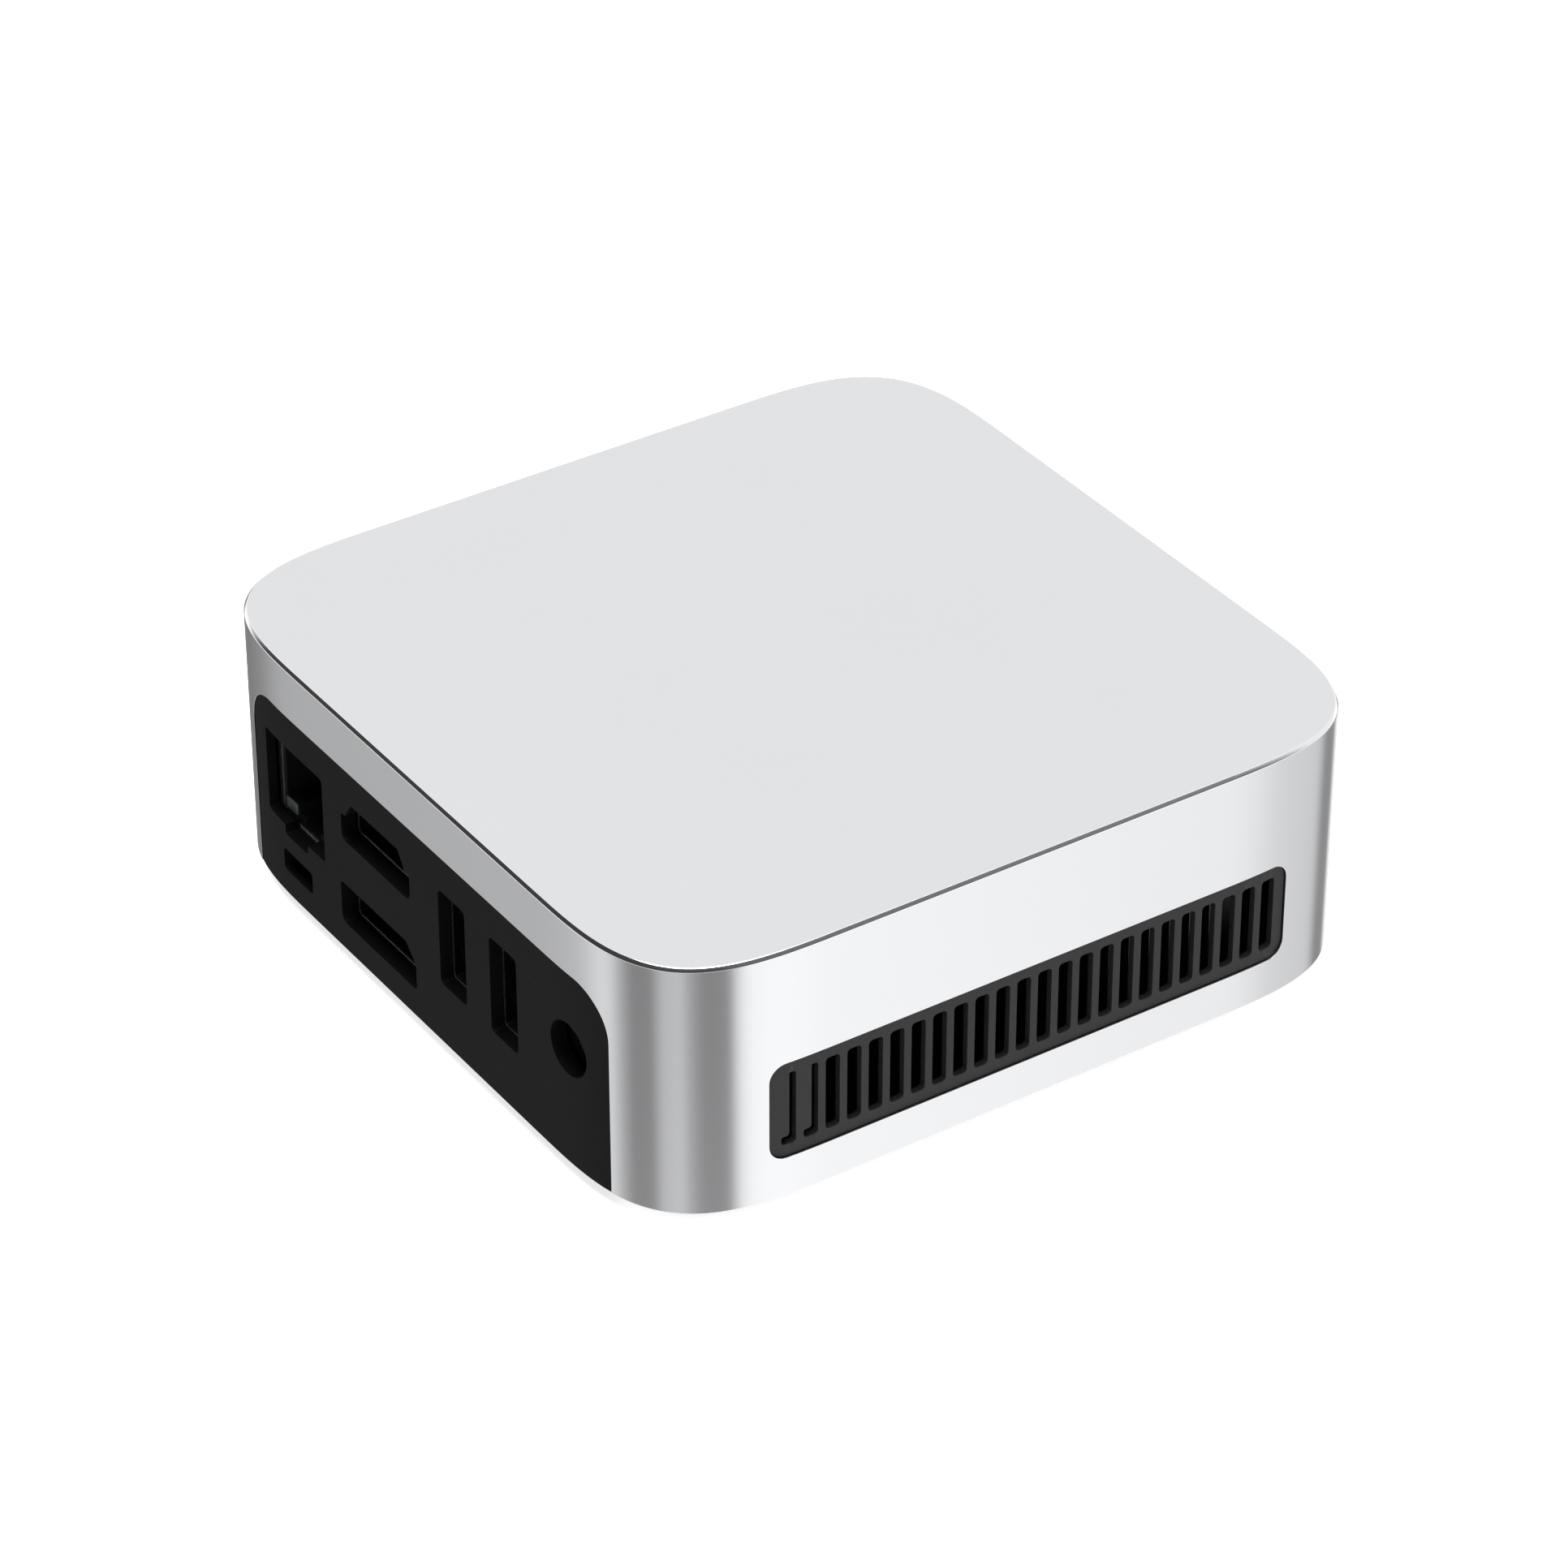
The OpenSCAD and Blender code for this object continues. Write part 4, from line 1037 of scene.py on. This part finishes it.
class MINIPC_OT_network(Maker):
    """Network jack: shield, insert and its eight contacts"""
    bl_idname = "minipc.network"
    bl_label = "Network jack"

    def make(self):
        face, rear, low = PORT_FACE, PORT_FACE - 21, DECK - 14
        x = NETWORK_X
        insert = box_piece("network_insert", (x - 7.7, rear + 0.3, low + 0.3),
                           (x + 7.7, face - 0.25, DECK - 0.3))
        opening = rounded_path(
            [(x - 5.95, DECK - 10.6), (x - 3.1, DECK - 10.6), (x - 3.1, DECK - 12), (x - 1.8, DECK - 12),
             (x - 1.8, DECK - 12.9), (x + 1.8, DECK - 12.9), (x + 1.8, DECK - 12), (x + 3.1, DECK - 12),
             (x + 3.1, DECK - 10.6), (x + 5.95, DECK - 10.6), (x + 5.95, DECK - 2), (x - 5.95, DECK - 2)],
            [0.25] * 12, 3)
        cut(insert, tool(opening, "Y", face - 15, face + 1))
        bevel(insert, lambda ends, normals: all(abs(p.y - face + 0.25) < 0.01 for p in ends)
              and max(abs(p.x - x) for p in ends) < 6.2, 0.25, 1)
        comb = [box_piece("rib", (x + (i - 4) * 1.1 - 0.32, face - 13.5, DECK - 2.6),
                          (x + (i - 4) * 1.1 + 0.32, face - 4.5, DECK - 1.9)) for i in range(9)]
        insert = joined("network_insert", insert, *comb)
        lights = []
        for side in (-1, 1):
            centre = x + side * 4.85
            lights.append(box_piece("lamp", (centre - 1.3, face - 3, DECK - 12.4),
                                    (centre + 1.3, face - 0.12, DECK - 10.75), 0.12, 1))
        finished(joined("network_lights", *lights), "chassis", "clear_plastic",
                 frosted_plastic("frosted_plastic"), "network_jack")
        finished(insert, "chassis", "connector_black",
                 shared("connector_black"), "network_jack")
        shield = box_piece("network_shield", (x - 8, rear, low), (x + 8, face, DECK))
        cut(shield, box_piece("tool", (x - 7.72, rear + 0.28, low + 0.28),
                              (x + 7.72, face - 0.3, DECK - 0.28)))
        cut(shield, tool(rounded_path(
            [(x - 6.35, DECK - 12.7), (x - 3.3, DECK - 12.7), (x - 3.3, DECK - 13.3), (x + 3.3, DECK - 13.3),
             (x + 3.3, DECK - 12.7), (x + 6.35, DECK - 12.7), (x + 6.35, DECK - 1.3), (x - 6.35, DECK - 1.3)],
            [0.25] * 8, 3), "Y", face - 1, face + 1))
        merged(shield)
        bevel(shield, on_plane("Y", face), 0.08, 2)
        fingers = []
        for side in (-1, 1):
            wall = x + side * 6.55
            leaf = strip([(wall + side * 0.5, face - 0.2), (wall, face - 0.35),
                          (wall - side * 0.35, face - 2.2), (wall - side * 0.2, face - 4.6),
                          (wall + side * 0.3, face - 6.5)], 0.22)
            for z in (DECK - 4.6, DECK - 8.4):
                fingers.append(turned_out(prism("finger", leaf, "Z", z - 0.9, z + 0.9)))
        shield = joined("network_shield", shield, *fingers)
        finished(shield, "chassis", "shell_metal", shared("shield_metal"),
                 "network_jack", angle=35)
        wire = strip([(face - 14.2, DECK - 2.0), (face - 13, DECK - 2.3), (face - 12.2, DECK - 4.9),
                      (face - 11.2, DECK - 5.3), (face - 4.6, DECK - 2.9), (face - 3.6, DECK - 2.55)], 0.3)
        contacts = [prism("wire", [(a, b) for a, b in wire], "X", x + (i - 3.5) * 1.1 - 0.2,
                          x + (i - 3.5) * 1.1 + 0.2) for i in range(8)]
        contacts = turned_out(joined("network_contacts", *contacts))
        finished(contacts, "chassis", "contact_gold", shared("contact_gold"), "network_contacts")


class MINIPC_OT_video(Maker):
    """The two stacked video ports"""
    bl_idname = "minipc.video"
    bl_label = "Video ports"

    def make(self):
        face = PORT_FACE
        metal = shared("shell_metal")
        plastic = shared("tongue_plastic")
        # inner: the near-black finish that paints shade inside the shells
        inner = shared("shell_inner")
        for name, path, tongue_w, tongue_z, node in (
                ("upper", upper_video_path, 10.5, DECK - 3.2, "video_shell_upper"),
                ("lower", lower_video_path, 12.5, DECK - 15.5, "video_shell_lower")):
            shell = sleeve(f"video_shell_{name}", path(-0.33), path(-0.68), face - 11.5, face, 0.3)
            bevel(shell, on_plane("Y", face), 0.08, 2)
            fingers = self.fingers(name, face)
            shell = joined(shell.name, shell, *fingers)
            # Faces behind the mouth get the near-black finish, painted shade for the inside of the port; only
            # the front edge keeps the bright metal
            set_finish(shell, 1, lambda place, normal: place.y < face - 0.15)
            finished(shell, "chassis", "shell_metal", [metal, inner], node, angle=35)
            tongue = box_piece(f"video_tongue_{name}", (VIDEO_X - tongue_w / 2, face - 11.4, tongue_z - 0.6),
                               (VIDEO_X + tongue_w / 2, face - 1.4, tongue_z + 0.6))
            bevel(tongue, on_plane("Y", face - 1.4), 0.3, 2)
            finished(tongue, "chassis", "connector_black", plastic, f"video_tongue_{name}")
            strips = [box_piece("strip", (VIDEO_X + i - 0.25, face - 11, tongue_z - 0.7),
                                (VIDEO_X + i + 0.25, face - 2, tongue_z + 0.7), 0.05, 1)
                      for i in range(-4, 5)]
            strips = joined(f"video_contacts_{name}", *strips)
            finished(strips, "chassis", "contact_gold", shared("contact_gold"), f"video_tongue_{name}")

    @staticmethod
    def fingers(name, face):
        """Spring leaves pressed inwards from the sleeve's walls."""
        floor = DECK - 5.6 if name == "upper" else DECK - 18.0
        side_z = DECK - 4.3 if name == "upper" else DECK - 15.3
        wide = 7.25 if name == "upper" else 8.05
        leaves = []
        for x in (-4.2, 4.2):
            leaf = strip([(face - 0.8, floor - 0.05), (face - 2.6, floor + 0.4), (face - 4.2, floor + 0.45),
                          (face - 6.2, floor)], 0.18)
            leaves.append(turned_out(prism("leaf", leaf, "X", VIDEO_X + x - 0.9, VIDEO_X + x + 0.9)))
        for side in (-1, 1):
            wall = VIDEO_X + side * wide
            leaf = strip([(wall, face - 0.8), (wall - side * 0.45, face - 2.6),
                          (wall - side * 0.5, face - 4.2), (wall, face - 6.2)], 0.18)
            leaves.append(turned_out(prism("leaf", leaf, "Z", side_z - 0.8, side_z + 0.8)))
        return leaves


class MINIPC_OT_data(Maker):
    """Data ports: two upright ones at the rear and two flat ones at the front"""
    bl_idname = "minipc.data"
    bl_label = "Data ports"

    def make(self):
        metal = shared("shell_metal")
        plastic = shared("tongue_plastic")
        # inner: the near-black finish that paints shade inside the shells
        inner = shared("shell_inner")
        shell, tongue, contacts = self.flat_port()
        upright = lambda x: (lambda p: (x - p.z, USB_FACE + p.y, USB_MID + p.x))
        flat = lambda x: (lambda p: (x - p.x, -USB_FACE - p.y, USB_FRONT_Z + p.z))
        places = [("rear", k, upright(x)) for k, x in enumerate(USB_REAR_X, 1)]
        places += [("front", k, flat(x)) for k, x in enumerate(USB_FRONT_X, 1)]
        for side, k, move in places:
            for master, slot, material, node in (
                    (shell, "shell_metal", [metal, inner], "shells"),
                    (tongue, "connector_black", plastic, "tongues"),
                    (contacts, "contact_gold", shared("contact_gold"), "tongues")):
                piece = turned_out(copied(master, f"{side}_{master.name}_{k}", move))
                if master is shell:
                    # Faces behind the mouth get the near-black finish, painted shade for the inside of the
                    # port; only the front edge keeps the bright metal
                    set_finish(piece, 1, lambda place, normal: abs(place.y) < USB_FACE - 0.15)
                finished(piece, "chassis", slot, material, f"usb_{side}_{node}", angle=35)
        for master in (shell, tongue, contacts):
            bpy.data.objects.remove(master, do_unlink=True)

    @staticmethod
    def flat_port():
        """One port with its mouth at y = 0 and its width along X."""
        shell = sleeve("data_shell", rectangle(0, 0, 13.1, 5.7, 0.6), rectangle(0, 0, 12.5, 5.1, 0.4),
                       -14, 0, 0.3)
        bevel(shell, on_plane("Y", 0), 0.1, 2)
        leaves = []
        for x in (-3.4, 3.4):
            for side in (-1, 1):
                wall = side * 2.6
                leaf = strip([(-0.9, wall), (-2.8, wall - side * 0.5), (-4.4, wall - side * 0.55),
                              (-6.4, wall)], 0.18)
                leaves.append(turned_out(prism("leaf", leaf, "X", x - 1.1, x + 1.1)))
        shell = joined("data_shell", shell, *leaves)
        tongue = box_piece("data_tongue", (-5.6, -13.1, 0.3), (5.6, -3, 1.9))
        bevel(tongue, on_plane("Y", -3), 0.35, 2)
        block = box_piece("block", (-6.1, -13.7, -2.4), (6.1, -10.5, 2.4))
        tongue = joined("data_tongue", tongue, block)
        contacts = []
        for i in (-1.5, -0.5, 0.5, 1.5):
            leaf = strip([(-10.4, 0.05), (-5.4, 0.0), (-4.6, -0.12), (-3.9, 0.1)], 0.25)
            x = i * 2.4
            contacts.append(turned_out(prism("contact", leaf, "X", x - 0.5, x + 0.5)))
        return shell, tongue, joined("data_contacts", *contacts)


class MINIPC_OT_power_jack(Maker):
    """Round power jack with its sleeve and pin"""
    bl_idname = "minipc.power_jack"
    bl_label = "Power jack"

    def make(self):
        face, x, z = POWER_FACE, POWER_X, POWER_Z
        block = box_piece("power_jack", (x - 4.5, face - 13.5, DECK - 11), (x + 4.5, face, DECK))
        cut(block, tool(disc(x, z, 3.0, 64), "Y", face - 9.5, face + 1))
        bevel(block, on_plane("Y", face), 0.18, 2)
        finished(block, "chassis", "connector_black",
                 shared("connector_black"), "power_jack")
        sleeve_metal = shared("shield_metal")
        lining = sleeve("power_sleeve", disc(x, z, 2.98, 64), disc(x, z, 2.75, 64), face - 9.4, face - 0.3)
        finished(lining, "chassis", "shell_metal", sleeve_metal, "power_jack")
        pin = prism("power_pin", disc(x, z, 1.05, 32), "Y", face - 9.5, face - 2.0)
        bevel(pin, on_plane("Y", face - 2.0), 0.55, 4)
        finished(pin, "chassis", "shell_metal", sheet_metal("pin_metal", (0.5, 0.5, 0.5), 0.25), "power_pin",
                 angle=35)


class MINIPC_OT_front(Maker):
    """Front: power button, light pipe and audio jack"""
    bl_idname = "minipc.front"
    bl_label = "Power button, light and audio jack"

    def make(self):
        looks, wall = self.looks, self.body.wall
        face, x, z = -HALF + 0.3, BUTTON_X, BUTTON_Z
        cap = prism("power_button", disc(x, z, BUTTON_R, 72), "Y", face, -HALF + wall + 0.2)
        with editing(cap):
            pick_faces(cap, lambda p, n: n.y < -0.9)
            bpy.ops.mesh.inset(thickness=0.55 * MM)
            for _ in range(5):
                bpy.ops.mesh.inset(thickness=0.55 * MM, depth=-0.028 * MM)
        middle_of_face = Vector((x, face, z))
        bevel(cap, lambda ends, normals: all(abs(p.y - face) < 0.01 and (p - middle_of_face).length
                                             > BUTTON_R - 0.1 for p in ends), 0.18, 2)
        set_finish(cap, 1, lambda p, n: -0.97 < n.y < -0.2 and (p - middle_of_face).length > BUTTON_R - 0.5)
        collar = prism("collar", disc(x, z, BUTTON_R + 0.75, 64), "Y",
                       -HALF + wall + 0.15, -HALF + wall + 0.9)
        stem = prism("stem", disc(x, z, 1.3, 32), "Y", -HALF + wall + 0.8, -HALF + 5.3)
        cap = joined("power_button", cap, collar, stem)
        metal = blasted_metal("button_metal", looks.metal[:], looks.metal_rough)
        cut_edge = polished_metal("cut_edge", shade(looks.metal[:], 1.1))
        finished(cap, "power_button", "anodised_aluminium", [metal, cut_edge], "power_button", angle=20)

        pipe = prism("light_pipe", disc(LIGHT_X, z, 1.0, 32), "Y", -HALF + 0.15, -HALF + 6)
        bevel(pipe, on_plane("Y", 0.15 - HALF), 0.35, 3)
        ring = prism("ring", disc(LIGHT_X, z, 1.6, 32), "Y", -HALF + wall + 0.1, -HALF + wall + 0.9)
        riser = prism("riser", disc(LIGHT_X, -HALF + 5, 0.98, 32), "Z", z, DECK - 0.6)
        pipe = shape(shape(pipe, "UNION", ring), "UNION", riser)
        finished(pipe, "chassis", "clear_plastic", clear_plastic("clear_plastic"), "light_pipe", angle=35)

        plastic = shared("connector_black")
        jack = box_piece("audio_jack", (AUDIO_X - 3.2, -HALF + 2.4, AUDIO_Z - 3.3),
                         (AUDIO_X + 3.2, -HALF + 15.5, DECK))
        nose = prism("nose", disc(AUDIO_X, AUDIO_Z, 2.6, 56), "Y", -HALF + 0.6, -HALF + 2.5)
        shape(jack, "UNION", nose)
        cut(jack, tool(disc(AUDIO_X, AUDIO_Z, 1.8, 56), "Y", -HALF, -HALF + 14.6))
        merged(jack)
        bevel(jack, on_plane("Y", 0.6 - HALF), 0.15, 2)
        finished(jack, "chassis", "connector_black", plastic, "audio_jack", angle=35)
        contact = sleeve("audio_contact", disc(AUDIO_X, AUDIO_Z, 1.79, 48), disc(AUDIO_X, AUDIO_Z, 1.62, 48),
                         -HALF + 1.4, -HALF + 3.6)
        finished(contact, "chassis", "contact_gold", shared("contact_gold"), "audio_jack")


class MINIPC_OT_inner_finishes(Maker):
    """Finishes of the cooler, the board and the cards inside"""
    bl_idname = "minipc.inner_finishes"
    bl_label = "Inner finishes"

    def make(self):
        for name, nodes in INNER_FINISHES.items():
            material = circuit_board(name, self.looks.board[:]) if name == "circuit_board" else shared(name)
            for node in nodes.split():
                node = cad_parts[node]
                for slot in node.material_slots:
                    slot.material = material
                if not node.material_slots:
                    node.data.materials.append(material)


# The CAD's own pieces that stay visible, by finish
INNER_FINISHES = {
    "screw_steel": "cover_screws heat_sink_screws fan_screws ssd_screw wifi_screw coin_battery",
    "zinc_plate": "standoffs",
    "brass": "bracket_inserts ssd_nut wifi_nut",
    "circuit_board": "motherboard memory_module",
    "card_board": "ssd_card wifi_card",
    "black_chip": "board_components",
    "processor_package": "processor",
    "thermal_compound": "thermal_paste ssd_thermal_pad",
    "heat_sink_metal": "heat_sink",
    "fan_plastic": "fan_frame fan_rotor",
    "cable_jacket": "fan_cable antenna_leads",
    "connector_ivory": "fan_connector",
    "connector_black": "memory_socket ssd_socket wifi_socket battery_holder video_housing power_switch",
    "shell_metal": "memory_latch_left memory_latch_right",
    "contact_gold": "antennas",
}


class MINIPC_OT_stage(Maker):
    """Floor, soft light and camera"""
    bl_idname = "minipc.stage"
    bl_label = "Floor, light and camera"

    def make(self):
        clear_selection()
        bpy.ops.mesh.primitive_plane_add(size=6.0)
        floor = bpy.context.object
        floor.name = floor.data.name = "floor"
        finish = Finish("floor_acrylic", Roughness=0.95, Specular_IOR_Level=0.0,
                        Emission_Strength=self.studio.table)
        finish.paint(finish.noise(40, 2, 0.5), shade(self.studio.floor[:], 0.99), self.studio.floor[:])
        floor.data.materials.append(finish.material)
        finish.feed(finish.shader.inputs["Emission Color"],
                    finish.mix(finish.noise(30, 2, 0.5), (0.98, 0.98, 0.98), (1.0, 1.0, 1.0)))
        floor.visible_glossy = False
        self.sky()
        self.camera()

    def sky(self):
        """A light tent: lamps overhead, a lit horizon, screens at the sides and a dark camera side."""
        world = bpy.context.scene.world or bpy.data.worlds.new("Studio")
        bpy.context.scene.world = world
        tree = Tree(world)
        way = tree.add("ShaderNodeTexCoord").outputs["Generated"]
        parts = tree.add("ShaderNodeSeparateXYZ", None, {0: way})
        x, y, z = (Reading(tree, parts.outputs[k]) for k in range(3))
        round_about = (y.angle_to(x) / (2 * math.pi) + 0.5)
        low, high = (tree.add("ShaderNodeValToRGB", {"stops": tones}, {0: round_about}).outputs[0]
                     for tones in (LOW_SCREENS, HIGH_SCREENS))
        light = NADIR
        for rise, screen in ((z.blend(-0.78, -0.66), low), (z.blend(-0.10, 0.02), HORIZON),
                             (z.blend(0.14, 0.24), high), (z.blend(0.90, 0.94), ZENITH)):
            blend = tree.add("ShaderNodeMix", {"data_type": "RGBA"}, {0: rise, 6: light, 7: screen})
            light = blend.outputs[2]
        shining = tree.add("ShaderNodeBackground", None, {"Color": light, "Strength": self.studio.sky})
        tree.add("ShaderNodeOutputWorld", None, {"Surface": shining.outputs[0]})

    def camera(self):
        studio = self.studio
        data = bpy.data.cameras.new("camera")
        data.lens = studio.lens
        data.sensor_width = 36
        data.clip_start = 0.01
        camera = bpy.data.objects.new("camera", data)
        bpy.context.collection.objects.link(camera)
        ahead = Vector(studio.aim).normalized()
        right = ahead.cross(Vector((0, 0, 1))).normalized()
        up = right.cross(ahead)
        turn = Matrix((right, up, -ahead)).transposed().to_4x4()
        camera.matrix_world = Matrix.Translation(Vector(studio.camera)) @ turn
        bpy.context.scene.camera = camera


# Brightness of the tent's screens, once round from -X through -Y, +X and +Y
LOW_SCREENS = [(0.0, 0.3), (0.015, 0.95), (0.03, 1.15), (0.07, 1.2), (0.1, 1.15), (0.13, 0.8), (0.22, 0.72),
               (0.25, 0.28), (0.31, 0.3), (0.33, 1.05), (0.36, 1.05), (0.375, 0.25), (0.43, 0.36),
               (0.48, 0.22),
               (0.55, 0.3), (0.575, 0.5), (0.62, 0.6), (0.65, 0.85), (0.67, 0.85), (0.7, 0.45), (0.73, 0.24),
               (0.785, 0.24), (0.82, 0.55), (0.875, 0.62), (0.91, 0.36), (0.94, 0.24), (0.985, 0.24)]
HIGH_SCREENS = [(0.0, 0.1), (0.12, 0.17), (0.17, 0.93), (0.54, 0.93), (0.58, 0.04), (0.8, 0.05)]
NADIR = (1.8, 1.8, 1.8, 1.0)
HORIZON = (1.2, 1.2, 1.2, 1.0)
ZENITH = (8.0, 8.0, 8.0, 1.0)


class MINIPC_PT_panel(bpy.types.Panel):
    bl_idname = "MINIPC_PT_panel"
    bl_label = "Mini PC"
    bl_space_type = "VIEW_3D"
    bl_region_type = "UI"
    bl_category = "Mini PC"

    def draw(self, context):
        for kind in MAKERS:
            self.layout.operator(kind.bl_idname)
        for name, label in (("housing", "Housing"), ("panel", "Rear panel"), ("vents", "Vents"),
                            ("finishes", "Finishes"), ("studio", "Studio")):
            box = self.layout.box()
            box.label(text=label)
            group = getattr(context.scene, "minipc_" + name)
            for key in group.bl_rna.properties.keys():
                if key not in ("rna_type", "name"):
                    box.prop(group, key)


GROUPS = {
    "housing": MINIPC_PG_housing, "panel": MINIPC_PG_panel, "vents": MINIPC_PG_vents,
    "finishes": MINIPC_PG_finishes, "studio": MINIPC_PG_studio,
}
MAKERS = (
    MINIPC_OT_housing, MINIPC_OT_rear_panel, MINIPC_OT_side_grilles, MINIPC_OT_bottom, MINIPC_OT_network,
    MINIPC_OT_video, MINIPC_OT_data, MINIPC_OT_power_jack, MINIPC_OT_front, MINIPC_OT_inner_finishes,
    MINIPC_OT_stage,
)


def register():
    for kind in (*GROUPS.values(), *MAKERS, MINIPC_PT_panel):
        bpy.utils.register_class(kind)
    for name, kind in GROUPS.items():
        setattr(bpy.types.Scene, "minipc_" + name, PointerProperty(type=kind))


def unregister():
    for name in GROUPS:
        delattr(bpy.types.Scene, "minipc_" + name)
    for kind in reversed((*GROUPS.values(), *MAKERS, MINIPC_PT_panel)):
        bpy.utils.unregister_class(kind)


def main():
    register()
    bpy.context.scene.view_settings.view_transform = "Standard"
    for kind in MAKERS:
        getattr(bpy.ops.minipc, kind.bl_idname.split(".")[1])()


if __name__ == "__main__":
    main()
